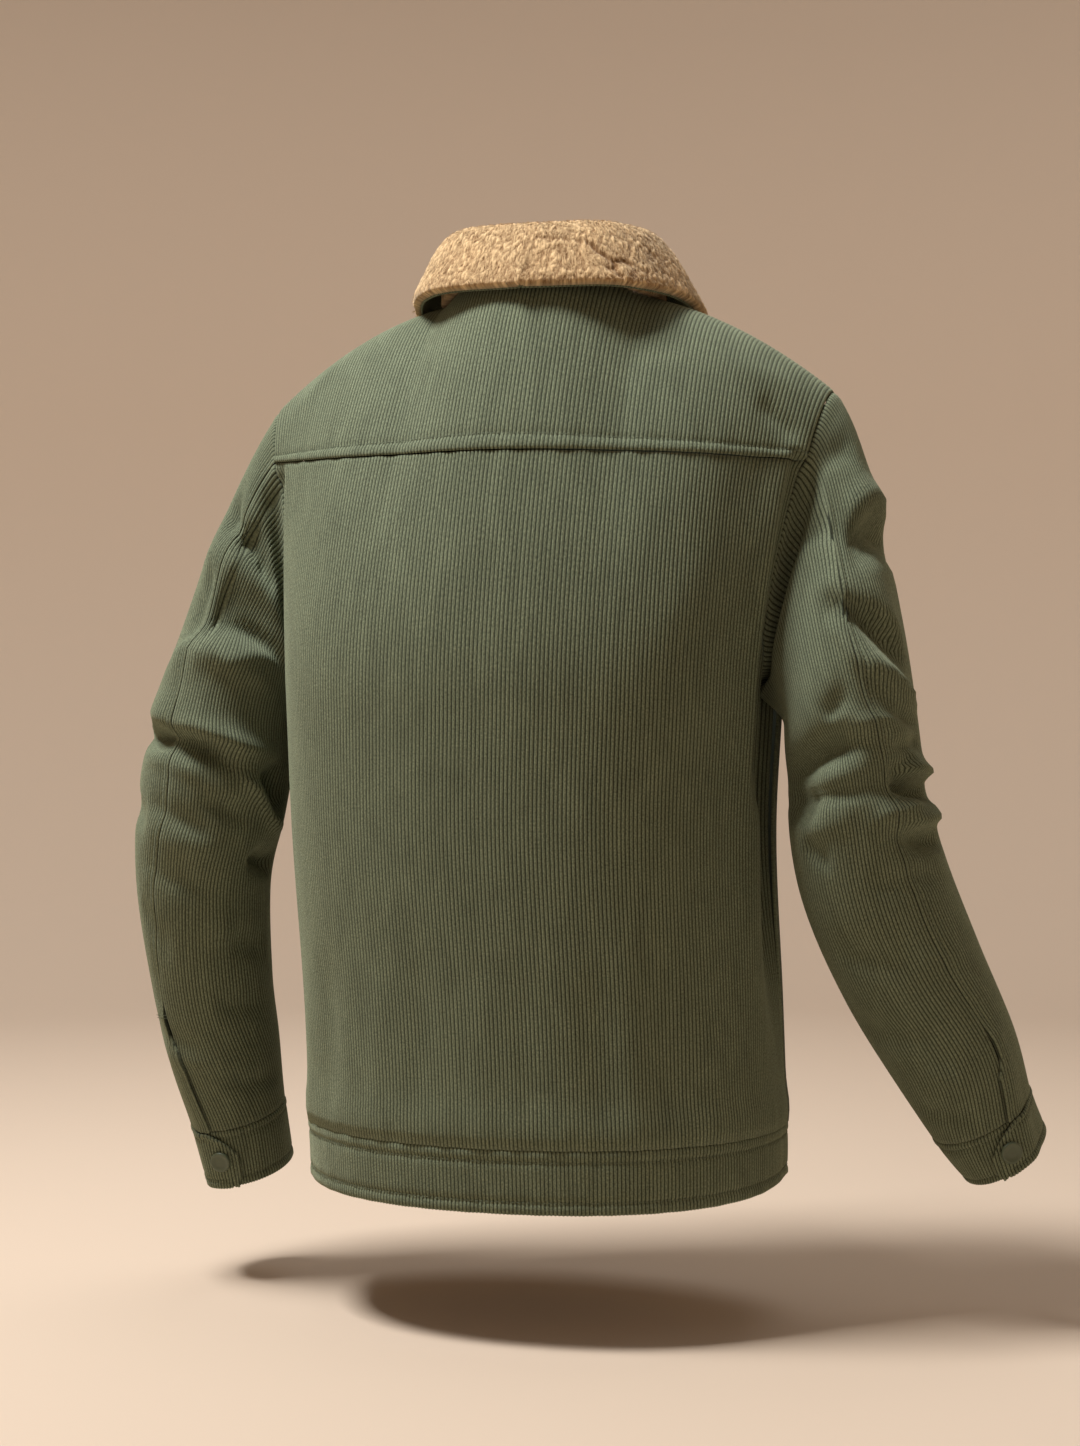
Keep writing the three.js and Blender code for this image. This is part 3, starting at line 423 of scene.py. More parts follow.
def ease(value):
    value = np.clip(value, 0, 1)
    return value**2 * (3 - 2 * value)


def points(x, y, z):
    return np.stack(np.broadcast_arrays(x, y, z), axis=-1).astype(float)


def unit(vectors):
    return vectors / np.maximum(np.linalg.norm(vectors, axis=-1, keepdims=True), 1e-9)


def square_to(surface, a, b, step_a, step_b, facing):
    """The directions square to a surface, turned outwards by facing."""
    along_a = surface(a + step_a, b) - surface(a - step_a, b)
    along_b = surface(a, b + step_b) - surface(a, b - step_b)
    return unit(np.cross(along_a, along_b)) * facing


def fold_height(folds, x, y, girth=None, lean=0.0):
    """The height of all folds at places on the flat cloth, which closes on itself where it has a girth."""
    height = np.zeros(np.broadcast(x, y).shape)
    for from_x, from_y, to_x, to_y, wide, tall in folds:
        length = math.hypot(to_x - from_x, to_y - from_y)
        along_x, along_y = (to_x - from_x) / length, (to_y - from_y) / length
        dx = x - (from_x + to_x) / 2
        if girth:
            dx = dx - np.round(dx / girth) * girth
        dy = y - (from_y + to_y) / 2
        along_it = (dx * along_x + dy * along_y) / (length * 0.55)
        over_it = (dx * along_y - dy * along_x) / wide
        over_it = over_it / (1 + lean * np.sign(over_it * along_x))
        height = height + tall * np.exp(-(along_it**4) - over_it**2)
    return height


# Body


def ring_point(side, across, z):
    """A place on a ring of the body, by the share of cloth from its centre to its side seam."""
    side, across, z = np.broadcast_arrays(side, across, z)
    rings = np.stack([side.ravel(), np.round(z.ravel(), 6)], axis=1)
    kinds, which = np.unique(rings, axis=0, return_inverse=True)
    which = which.ravel()
    ring = along_table(BODY_COLUMNS, BODY_RINGS, kinds[:, 1])
    depth = np.where(kinds[:, 0] > 0, ring["back"], ring["front"])[:, None]
    wide, corner = ring["half_width"][:, None], ring["corner"][:, None]
    count = 40

    def spot(angle, wide, depth, corner):
        s, c = np.sin(angle), np.cos(angle)
        size = np.abs(s / wide) ** corner + np.abs(c / depth) ** corner
        return s * size ** (-1 / corner), c * size ** (-1 / corner)

    x, y = spot(np.linspace(0, math.pi / 2, count + 1)[None, :], wide, depth, corner)
    steps = np.hypot(np.diff(x, axis=1), np.diff(y, axis=1))
    lengths = np.concatenate([np.zeros((len(kinds), 1)), np.cumsum(steps, axis=1)], axis=1)
    flat_across = across.ravel()
    wanted = np.abs(flat_across) * lengths[which, -1]
    i = np.clip(np.sum(lengths[which, 1:] < wanted[:, None], axis=1), 0, count - 1)
    share = (i + (wanted - lengths[which, i]) / (lengths[which, i + 1] - lengths[which, i])) / count
    px, py = spot(share * math.pi / 2, wide[which, 0], depth[which, 0], corner[which, 0])
    px = ring["shift_x"][which] + np.sign(flat_across) * px
    py = ring["shift_y"][which] + side.ravel() * py
    return points(px, py, z.ravel()).reshape(*across.shape, 3)


def ridge_point(side, across):
    """Where columns of cloth cross the line of the shoulders, which goes on across the neck."""
    cloth = np.abs(across) * HALF_CHEST
    share = cloth / NECK_CLOTH
    down = (cloth - NECK_CLOTH) / (TIP_CLOTH - NECK_CLOTH)
    in_neck = share <= 1
    neck_x = NECK["half_width"]
    x = np.where(in_neck, neck_x * share, neck_x + (TIP["x"] - neck_x) * down)
    y = np.where(in_neck, RIDGE["y"], RIDGE["y"] + (TIP["y"] - RIDGE["y"]) * down)
    rise = np.where(side > 0, RIDGE["rise_behind"], RIDGE["rise_in_front"])
    neck_z = RIDGE["neck_z"] + rise * np.clip(1 - share**2, 0, 1) ** RIDGE["bluntness"]
    rounding = np.where(across > 0, RIDGE["rounding_left"], RIDGE["rounding_right"])
    tip_z = RIDGE["neck_z"] + (TIP["z"] - RIDGE["neck_z"]) * down + rounding * down * (1 - down)
    return points(np.sign(across) * x, y, np.where(in_neck, neck_z, tip_z))


def plain_body(side, across, up):
    """A place on the body without folds: on a ring up to the chest, then leaning over to the shoulders."""
    side, across, up = np.broadcast_arrays(np.asarray(side, float), across, np.asarray(up, float))
    low = np.minimum(up, 0)
    start = ring_point(side, across, CHEST_Z + low)
    if not np.any(up > 0):
        return start
    step = 4
    rise = (start - ring_point(side, across, CHEST_Z - step + low)) / step
    ridge = ridge_point(side, across)
    reach = np.linalg.norm(ridge - start, axis=-1, keepdims=True)
    over = points(0 * side, -side, -0.22 * side) * reach * 0.62
    leaning = cubic_point(start, ridge, rise * reach, over, np.maximum(up, 0) / COLUMN)
    return np.where((up > 0)[..., None], leaning, start)


BODY_FOLDS_FLAT = [
    (from_across * HALF_CHEST, from_up, to_across * HALF_CHEST, to_up, wide, tall)
    for from_across, from_up, to_across, to_up, wide, tall in BODY_FOLDS
]


def valley(across, up):
    """How deep the back lies at places along its armholes."""
    deep = np.where(across > 0, VALLEY["left"], VALLEY["right"])
    away = (np.abs(across) - ARMHOLE_ACROSS) * HALF_CHEST / VALLEY["wide"]
    ends = ease((up - VALLEY["from"]) / VALLEY["fades"]) * ease((VALLEY["to"] - up) / 14)
    return deep * np.exp(-(away**4)) * ends


def body_point(side, across, up, lift=0.0):
    """A place on the body with its folds, moved outwards by lift."""
    side, across, up = np.broadcast_arrays(np.asarray(side, float), across, np.asarray(up, float))
    plain = functools.partial(plain_body, side)
    normal = square_to(plain, across, up, 0.004, 1, -side[..., None])
    behind = fold_height(BODY_FOLDS_FLAT, across * HALF_CHEST, up) - valley(across, up)
    height = np.where(side > 0, behind, 0)
    return plain_body(side, across, up) + normal * (height + lift)[..., None]


def body_place(side, across, up, lift=0.0):
    """A place on the body and the direction square to the cloth there."""
    side, up = np.asarray(side, float), np.asarray(up, float)
    side, across, up, lift = np.broadcast_arrays(side, across, up, lift)
    folded = functools.partial(body_point, side)
    normal = square_to(folded, across, up, 0.004, 1, -side[..., None])
    return body_point(side, across, up, lift), normal


def up_where(test, shape):
    """How far up columns pass a test, which holds below that place and fails above it."""
    low = np.full(shape, float(HEM_Z - CHEST_Z))
    high = np.full(shape, float(COLUMN))
    for _ in range(26):
        middle = (low + high) / 2
        below = test(middle)
        low = np.where(below, middle, low)
        high = np.where(below, high, middle)
    return low


def up_at(side, across, level):
    """How far up the columns of one side reach a level."""

    def below(up):
        return plain_body(side, across, up)[..., 2] < level

    return up_where(below, across.shape)


def yoke_up(across):
    """How far up the seam under the yoke crosses the columns of the back."""
    across = np.asarray(across, float)
    rise = np.where(across > 0, YOKE_Z["left"] - YOKE_Z["centre"], YOKE_Z["right"] - YOKE_Z["centre"])
    return up_at(1, across, YOKE_Z["centre"] + rise * across**2)


def top_up(side, across):
    """Where the neck opening cuts columns, or else the line of the shoulders."""
    across = np.asarray(across, float)
    share = np.clip(np.abs(across) * HALF_CHEST / NECK_CLOTH, 0, 1)
    depth = (NECK["back_depth"] if side > 0 else NECK["front_depth"]) * np.sqrt(1 - share**2)

    def outside(up):
        return (plain_body(side, across, up)[..., 1] - RIDGE["y"]) * side > depth

    return up_where(outside, across.shape)


def scoop_up(across):
    """How far up the curve at the foot of an armhole cuts the columns beside it."""
    share = np.clip((np.abs(across) - ARMHOLE_ACROSS) / (1 - ARMHOLE_ACROSS), 0, 1)
    return SCOOP * (1 - np.sqrt(1 - (1 - share) ** 2))


def front_lift(cloth):
    """How far the left front is lifted over the right one, by the cloth from the centre."""
    ramp = FRONT_LAP["ramp"]
    return (CORDUROY + LAP_GAP["front"]) * ease((FRONT_LAP["flat"] + ramp - cloth) / ramp)


# Sleeves


class Sleeve:
    """One sleeve: its stations, its armhole and the seam down its back."""

    SCOOP_STEPS = 12
    UPPER_STEPS = 12
    YOKE_STEPS = 18
    OVER_STEPS = 4

    def __init__(self, side):
        self.side = side
        self.outwards = OUTWARDS[side]
        self.stations = SLEEVE_STATIONS[side]
        self.slit_top = SLIT_TOP[side]
        self.fullness = CAP_FULLNESS[side]
        self.folds = [
            (
                a_round * SLEEVE_GIRTH, down_arm(a_run), b_round * SLEEVE_GIRTH, down_arm(b_run),
                wide, tall * (CREASE_DEPTH if tall < 0 else 1),
            )
            for a_run, a_round, b_run, b_round, wide, tall in SLEEVE_FOLDS[side]
        ]
        self.make_cap()
        self.make_armhole()

    def make_cap(self):
        """The share of the armhole before each place round the sleeve, by length along its bell top."""
        share = np.linspace(0, 1, 61)
        rise = np.diff((CAP["height"] / 2) * (1 - np.cos(share * math.pi)))
        lengths = np.concatenate([[0], np.cumsum(np.hypot(CAP["half_width"] / 60, rise))])
        self.cap_around = share / 2
        self.cap_shares = lengths / lengths[-1] / 2

    def cap_share(self, around):
        share = np.interp(np.minimum(around, 1 - around), self.cap_around, self.cap_shares)
        return np.where(around <= 0.5, share, 1 - share)

    def make_armhole(self):
        edge = ARMHOLE_ACROSS
        foot = [(edge + (1 - edge) * (1 - math.sin(a)), SCOOP * (1 - math.cos(a)))
                for a in np.linspace(0, math.pi / 2, self.SCOOP_STEPS + 1)]
        start = float(yoke_up(np.array([self.outwards * edge]))[0])
        end = COLUMN - FRONT_YOKE
        places = [(1, *place) for place in foot]
        places += [(1, edge, up) for up in np.linspace(SCOOP, start, self.UPPER_STEPS + 1)[1:]]
        places += [(1, edge, up) for up in np.linspace(start, COLUMN, self.YOKE_STEPS + 1)[1:]]
        places += [(-1, edge, up) for up in np.linspace(COLUMN, end, self.OVER_STEPS + 1)[1:]]
        places += [(-1, edge, up) for up in np.linspace(end, SCOOP, self.UPPER_STEPS + 1)[1:]]
        places += [(-1, *place) for place in reversed(foot[:-1])]
        side, across, up = np.array(places).T
        ring, normal = body_place(side, self.outwards * across, up)
        before = np.concatenate([ring[-2:-1], ring[:-1]])
        after = np.concatenate([ring[1:], ring[1:2]])
        self.ring = ring
        self.away = unit(np.cross(normal, after - before)) * self.outwards
        self.lengths = np.concatenate([[0], np.cumsum(np.linalg.norm(np.diff(ring, axis=0), axis=1))])
        share = self.lengths[self.SCOOP_STEPS + self.UPPER_STEPS] / self.lengths[-1]
        self.seam = float(np.interp(share, self.cap_shares, self.cap_around))

    def armhole_place(self, around):
        """Where the cloth leaves the armhole, and in which direction."""
        share = self.cap_share(around)
        wanted = share * self.lengths[-1]

        def pick(table):
            return np.stack([np.interp(wanted, self.lengths, table[:, k]) for k in range(3)], axis=-1)

        underarm = (0.5 + 0.5 * np.cos(share * 2 * math.pi))[..., None]
        along_arm = np.array([self.outwards * 0.4, 0, -0.9])
        return pick(self.ring), unit(pick(self.away) * (1 - underarm) + along_arm * underarm)

    def centre(self, run):
        row = along_table(SLEEVE_COLUMNS, self.stations, run)
        return points(self.outwards * row["x"], row["y"], row["z"])

    def section(self, run, around):
        """A place on an oval section of the arm."""
        run, around = np.broadcast_arrays(np.asarray(run, float), around)
        row = along_table(SLEEVE_COLUMNS, self.stations, run)
        arm = unit(self.centre(run + 0.05) - self.centre(run - 0.05))
        outer = np.array([self.outwards, 0.0, 0.0]) - arm * self.outwards * arm[..., :1]
        outer = unit(outer)
        back = np.array([0.0, 1.0, 0.0]) - arm * arm[..., 1:2]
        back = unit(back - outer * np.sum(back * outer, axis=-1, keepdims=True))
        angle = around * 2 * math.pi + np.radians(row["turn"])
        wide = (row["wide"] * np.cos(angle))[..., None]
        deep = (row["deep"] * np.sin(angle))[..., None]
        return self.centre(run) - outer * wide + back * deep

    def plain(self, run, around):
        """A place on the sleeve without folds. Above the first station it runs up to the armhole."""
        run, around = np.broadcast_arrays(np.asarray(run, float), np.asarray(around, float) % 1)
        lower = self.section(np.maximum(run, 0), around)
        if not np.any(run < 0):
            return lower
        start, away = self.armhole_place(around)
        section = self.section(0.0, around)
        onwards = unit(self.section(0.1, around) - section)
        reach = np.linalg.norm(section - start, axis=-1, keepdims=True)
        leave = away * reach * self.fullness
        upper = cubic_point(start, section, leave, onwards * reach, np.minimum(run, 0) + 1)
        return np.where((run < 0)[..., None], upper, lower)

    def point(self, run, around, lift=0.0):
        """A place on the sleeve with its folds, moved outwards by lift."""
        run, around = np.broadcast_arrays(np.asarray(run, float), np.asarray(around, float))
        normal = square_to(self.plain, run, around, 0.01, 0.003, -self.outwards)
        down = np.where(run < 0, run * CAP_LENGTH, run * RUN_LENGTH)
        height = fold_height(self.folds, around * SLEEVE_GIRTH, down, SLEEVE_GIRTH, FOLD_LEAN)
        height = height * ease((run + 1) * 4)
        from_seam = (around % 1 - self.seam) * SLEEVE_GIRTH
        height = height * (1 - SEAM_STIFFNESS * np.exp(-((from_seam / 13) ** 2)))
        return self.plain(run, around) + normal * (height + lift)[..., None]

    def place(self, run, around, lift=0.0):
        """A place on the sleeve and the direction square to the cloth there."""
        run, around, lift = np.broadcast_arrays(np.asarray(run, float), np.asarray(around, float), lift)
        normal = square_to(self.point, run, around, 0.01, 0.003, -self.outwards)
        return self.point(run, around, lift), normal

    def girth(self, run):
        """Cloth round the sleeve at some runs. Above the first station the cloth is cut no wider."""
        run = np.maximum(np.asarray(run, float), 0)
        ring = self.section(run[..., None], np.linspace(0, 1, 49))
        return np.sum(np.linalg.norm(np.diff(ring, axis=-2), axis=-1), axis=-1)

    def start_run(self, around):
        """The first row, kept clear of the armhole seam."""
        reach = np.linalg.norm(self.armhole_place(around)[0] - self.section(0.0, around), axis=-1)
        return -1 + SEAM_GAP / self.fullness / reach

    def cuff_place(self, down, past_seam, more=0.0):
        """A place on the cuff, from its top (0) to its edge (1) and in millimetres past the slit."""
        run = CUFF_RUN + SEAM_GAP / 2 / RUN_LENGTH + down * (1 - SEAM_GAP / 2 / RUN_LENGTH)
        over = ease((CUFF_LAP["under"] + CUFF_LAP["ramp"] - past_seam) / CUFF_LAP["ramp"])
        tab = (DOUBLED + LAP_GAP["sleeve"]) * np.where(past_seam < CUFF_GIRTH / 2, over, 0)
        lift = BAND_LIFT + tab + more
        return self.place(run, self.seam + past_seam / CUFF_GIRTH, lift)


def down_arm(run):
    """Millimetres of cloth down the arm from its first station."""
    return run * (CAP_LENGTH if run < 0 else RUN_LENGTH)


def tab_reach(down):
    """How much of the cuff's tab reaches past the seam, from its rounded top corner (0) to the edge (1)."""
    return np.sin(np.clip(down / 0.6, 0, 1) * math.pi / 2) ** 0.7 * (1 - 0.16 * ease((down - 0.75) * 4))


# Collar


def neck_point(turn):
    """A place on the edge of the neck opening, by its turn in degrees from the centre back."""
    side = np.where(np.abs(turn) < 90, 1.0, -1.0)
    across = np.sin(np.radians(turn)) * NECK_ACROSS
    up = np.where(side > 0, top_up(1, across), top_up(-1, across))
    return plain_body(side, across, up)


NECK_TURNS = np.linspace(-180, 180, 361)
NECK_LINE = neck_point(NECK_TURNS)


def collar_point(turn, down):
    """A place on the collar, from the neck (0) over its fold to its outer edge (1)."""
    turn, down = np.broadcast_arrays(np.asarray(turn, float), np.asarray(down, float))
    sign = np.where(turn < 0, -1.0, 1.0)
    row = along_table(COLLAR_COLUMNS, COLLAR, np.abs(turn))
    neck = np.stack([np.interp(turn, NECK_TURNS, NECK_LINE[:, k]) for k in range(3)], axis=-1)
    neck[..., 2] += SEAM_GAP * 3 + LAP_CLEARANCE * ease((np.abs(turn) - 90) / 60)
    fold = points(sign * row["fold_x"], row["fold_y"], row["fold_z"])
    edge = points(sign * row["edge_x"], row["edge_y"], row["edge_z"])
    outwards = edge - neck
    outwards[..., 2] = 0
    over = unit(outwards) * 30
    stand = np.linalg.norm(fold - neck, axis=-1)
    fall = np.linalg.norm(edge - fold, axis=-1, keepdims=True)
    hang = edge - fold
    hang[..., 2] *= 1.3
    hang = unit(hang) * fall
    rising = points(0 * stand, 0 * stand, stand * 1.2)
    inside = cubic_point(neck, fold, rising, over, np.minimum(down / FOLD_SHARE, 1))
    outside = cubic_point(fold, edge, over, hang, np.maximum((down - FOLD_SHARE) / (1 - FOLD_SHARE), 0))
    return np.where((down < FOLD_SHARE)[..., None], inside, outside)


def collar_place(turn, down, lift=0.0):
    normal = square_to(collar_point, turn, down, 0.6, 0.01, 1)
    return collar_point(turn, down) + normal * np.asarray(lift)[..., None], normal


# Meshes


def fetch(items, name, width=1, kind=float):
    """One value of every item of a mesh, with a row for each item where the value has a width."""
    values = np.empty(len(items) * width, kind)
    items.foreach_get(name, values)
    return values.reshape(-1, width) if width > 1 else values


def new_piece(name, bm, material):
    """Puts a bmesh into the scene as an object of its own."""
    mesh = bpy.data.meshes.new(name)
    bm.to_mesh(mesh)
    bm.free()
    mesh.materials.append(material)
    piece = bpy.data.objects.new(name, mesh)
    bpy.context.scene.collection.objects.link(piece)
    return piece


def turn_profile(bm, profile, steps):
    """Turns a profile of radii and heights once round the upright axis."""
    corners = [bm.verts.new((radius, 0, height)) for radius, height in profile]
    edges = [bm.edges.new(pair) for pair in zip(corners[:-1], corners[1:])]
    bmesh.ops.spin(
        bm, geom=corners + edges, cent=(0, 0, 0), axis=(0, 0, 1), angle=2 * math.pi, steps=steps,
        use_merge=True,
    )


def smooth(bm):
    for face in bm.faces:
        face.smooth = True


def set_uv(mesh, flat):
    """Gives a mesh its place on the flat cloth, in metres, for each corner."""
    mesh.uv_layers.new(name="cloth")
    mesh.uv_layers["cloth"].data.foreach_set("uv", flat.astype(np.float32).ravel())


def grid_mesh(name, rows, columns):
    """A mesh of a flat grid, with the row and the column of each vertex."""
    bm = bmesh.new()
    bmesh.ops.create_grid(bm, x_segments=columns - 1, y_segments=rows - 1, size=0.5)
    mesh = bpy.data.meshes.new(name)
    bm.to_mesh(mesh)
    bm.free()
    co = fetch(mesh.vertices, "co", 3)
    i = np.rint((co[:, 1] + 0.5) * (rows - 1)).astype(int)
    j = np.rint((co[:, 0] + 0.5) * (columns - 1)).astype(int)
    return mesh, i, j


def cloth_mesh(name, place, normal, cloth, relief, keep, thickness, materials):
    """A wall of cloth over a grid of places.

    place and normal are rows by columns by three, in millimetres, and cloth gives each place on the flat
    cloth. keep says which cells are there, and relief how far the outer face stands out.
    """
    name = f"{name}_cloth"
    mesh, i, j = grid_mesh(name, *place.shape[:2])
    mesh.vertices.foreach_set("co", (place[i, j] * MM).ravel())
    facts = np.stack([cloth[i, j, 0] * MM, cloth[i, j, 1] * MM, relief[i, j] * MM], axis=1)
    mesh.attributes.new("facts", "FLOAT_VECTOR", "POINT").data.foreach_set("vector", facts.ravel())
    corners = fetch(mesh.loops, "vertex_index", kind=int).reshape(-1, 4)
    wanted = keep[i[corners].min(axis=1), j[corners].min(axis=1)]
    a, b, c = (place[i[corners[:, k]], j[corners[:, k]]] for k in (0, 1, 2))
    facing = np.sum(np.cross(b - a, c - a) * normal[i[corners[:, 0]], j[corners[:, 0]]], axis=1)
    inside_out = np.sum(facing[wanted]) < 0
    bm = bmesh.new()
    bm.from_mesh(mesh)
    bm.faces.ensure_lookup_table()
    unwanted = [face for face, stays in zip(bm.faces, wanted) if not stays]
    bmesh.ops.delete(bm, geom=unwanted, context="FACES")
    bmesh.ops.remove_doubles(bm, verts=bm.verts, dist=1e-6)
    bmesh.ops.dissolve_degenerate(bm, edges=bm.edges, dist=1e-7)
    if inside_out:
        bmesh.ops.reverse_faces(bm, faces=bm.faces)
    smooth(bm)
    bm.to_mesh(mesh)
    bm.free()
    piece = bpy.data.objects.new(name, mesh)
    bpy.context.scene.collection.objects.link(piece)
    count = len(mesh.vertices)
    outwards = fetch(mesh.vertex_normals, "vector", 3)
    wall = piece.modifiers.new("wall", "SOLIDIFY")
    wall.thickness = thickness * MM
    wall.offset = -1
    wall.material_offset = len(materials) - 1
    for material in materials:
        mesh.materials.append(material)
    apply_modifiers(piece)
    mesh = piece.data
    co = fetch(mesh.vertices, "co", 3)
    facts = fetch(mesh.attributes["facts"].data, "vector", 3)
    co[:count] += outwards * facts[:count, 2:]
    mesh.vertices.foreach_set("co", co.ravel())
    set_uv(mesh, facts[fetch(mesh.loops, "vertex_index", kind=int), :2])
    mesh.attributes.remove(mesh.attributes["facts"])
    mesh.update()
    return piece


def apply_modifiers(piece):
    graph = bpy.context.evaluated_depsgraph_get()
    finished = bpy.data.meshes.new_from_object(piece.evaluated_get(graph))
    finished.name = piece.data.name
    piece.modifiers.clear()
    piece.data = finished


def wale_columns(from_mm, to_mm, wale, phases=(0, 0.3, 0.7)):
    """Columns for wales over a width of cloth: a groove and then the top of each wale, and the two ends."""
    first = math.floor(from_mm / wale) - 1
    last = math.ceil(to_mm / wale) + 1
    all_columns = ((np.arange(first, last)[:, None] + np.array(phases)[None, :]) * wale).ravel()
    heights = np.tile([-1.0] + [0.0] * (len(phases) - 1), last - first)
    inside = (all_columns > from_mm + 0.2) & (all_columns < to_mm - 0.2)
    columns = np.concatenate([[from_mm], all_columns[inside], [to_mm]])
    return columns, np.concatenate([[-1.0], heights[inside], [-1.0]])


def trough(distance):
    """The dip along a line of stitches."""
    return -TROUGH_DEPTH * np.exp(-((distance / TROUGH_WIDTH) ** 2))


def pucker(along, distance, height=0.45, reach=11.0):
    """The small ripples that a seam draws into the cloth beside it."""
    ripple = np.sin(along / 4.1) + 0.7 * np.sin(along / 2.6 + 1.3) + 0.5 * np.sin(along / 7.3 + 0.6)
    return height * 0.5 * ripple * np.exp(-((distance / reach) ** 2))


def rows_with(places, *lines, near=(-2.4, -1.1, 0, 1.1, 2.4)):
    """Rows of cloth, with closer ones at lines of stitches."""
    closer = [line + offset for line in lines for offset in near]
    apart = [place for place in places if all(abs(place - line) > 3.2 for line in lines)]
    low, high = min(places), max(places)
    return np.unique(np.round([low, high, *apart, *[p for p in closer if low < p < high]], 4))


def belong(piece, node=None):
    """Ties a piece to the body, and hides the node of the frame that it stands for."""
    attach(piece, BODY)
    if node:
        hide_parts(node)


def dress(piece, node):
    """Ties a corduroy piece to the body, and hides the node that it stands for."""
    belong(piece, node)


# Stitches

STITCH_LINES = {}


def sew(line, place, normal, step=STITCH_STEP, sunk=0.35):
    """Keeps a row of stitches for one of the lines, to be made when all cloth is there."""
    STITCH_LINES.setdefault(line, []).append((np.asarray(place), np.asarray(normal), step, sunk))


def make_stitches(name, lines, material):
    """One piece of all rows of stitches of a line, each stitch a long bead sunk into the cloth."""
    bm = bmesh.new()
    for place, normal, step, sunk in lines:
        lengths = np.concatenate([[0], np.cumsum(np.linalg.norm(np.diff(place, axis=0), axis=1))])
        count = max(int(lengths[-1] / step), 1)
        for at in (np.arange(count) + 0.5) * lengths[-1] / count:
            ends = (max(at - STITCH_LENGTH / 2, 0), min(at + STITCH_LENGTH / 2, lengths[-1]))
            a, b = (np.array([np.interp(end, lengths, place[:, k]) for k in range(3)]) for end in ends)
            out = unit(np.array([np.interp(at, lengths, normal[:, k]) for k in range(3)]))
            along = unit(b - a)
            out = unit(out - along * np.dot(out, along))
            middle = (a + b) / 2 - out * sunk
            turn = np.stack([along, np.cross(out, along), out], axis=1)
            size = np.array([STITCH_LENGTH / 2, STITCH_WIDTH / 2, STITCH_WIDTH / 2]) * MM
            matrix = Matrix.Identity(4)
            for row in range(3):
                for column in range(3):
                    matrix[row][column] = turn[row, column] * size[column]
                matrix[row][3] = middle[row] * MM
            bmesh.ops.create_uvsphere(bm, u_segments=4, v_segments=4, radius=1, matrix=matrix)
    smooth(bm)
    belong(new_piece(name, bm, material))


# Finishes


def add_node(tree, kind, inputs=None, **settings):
    """Adds a node with its settings. An input is given a value, or linked where it gets a socket."""
    node = tree.nodes.new(kind)
    for name, value in settings.items():
        setattr(node, name, value)
    for name, value in (inputs or {}).items():
        if isinstance(value, bpy.types.NodeSocket):
            tree.links.new(value, node.inputs[name])
        else:
            node.inputs[name].default_value = value
    return node


def spread(tree, value, low, high, to_low, to_high, **settings):
    """Maps one range of a value to another."""
    inputs = {0: value, 1: low, 2: high, 3: to_low, 4: to_high}
    return add_node(tree, "ShaderNodeMapRange", inputs, **settings).outputs[0]


def calculate(tree, operation, *values):
    return add_node(tree, "ShaderNodeMath", dict(enumerate(values)), operation=operation).outputs[0]


def flat_noise(tree, place, scale, detail, roughness=0.5, distortion=0.0):
    """Noise over the flat cloth, with its own scale across and along it."""
    at = add_node(tree, "ShaderNodeMapping", {0: place, 3: (*scale, 1)})
    inputs = {0: at.outputs[0], 2: 1.0, 3: detail, 4: roughness, 8: distortion}
    return add_node(tree, "ShaderNodeTexNoise", inputs, noise_dimensions="2D").outputs[0]


def blended(tree, share, low, high):
    """A colour between two others."""
    inputs = {0: share, 6: colour_of(low), 7: colour_of(high)}
    return add_node(tree, "ShaderNodeMix", inputs, data_type="RGBA").outputs[2]


def toned(tree, colour, tone):
    """A colour made lighter or darker by a factor."""
    shade = add_node(tree, "ShaderNodeCombineXYZ", {0: tone, 1: tone, 2: tone})
    inputs = {0: 1.0, 6: colour, 7: shade.outputs[0]}
    return add_node(tree, "ShaderNodeMix", inputs, data_type="RGBA", blend_type="MULTIPLY").outputs[2]


def bumps(tree, height, strength, distance):
    """A normal for the fine roughness of a surface."""
    inputs = {"Strength": strength, "Distance": distance, "Height": height}
    return add_node(tree, "ShaderNodeBump", inputs).outputs[0]


def surface(tree, inputs):
    """Ends a tree in one Principled shader."""
    shader = add_node(tree, "ShaderNodeBsdfPrincipled", inputs)
    add_node(tree, "ShaderNodeOutputMaterial", {0: shader.outputs[0]})


def colour_of(values):
    return (*values, 1.0)


def material_of(fill):
    """The material that a function fills in. It has the function's name and is made at its first use."""
    name = fill.__name__.replace("_", " ")
    material = bpy.data.materials.get(name)
    if material is None:
        material = bpy.data.materials.new(name)
        material.use_nodes = True
        material.node_tree.nodes.clear()
        fill(material.node_tree)
    return material


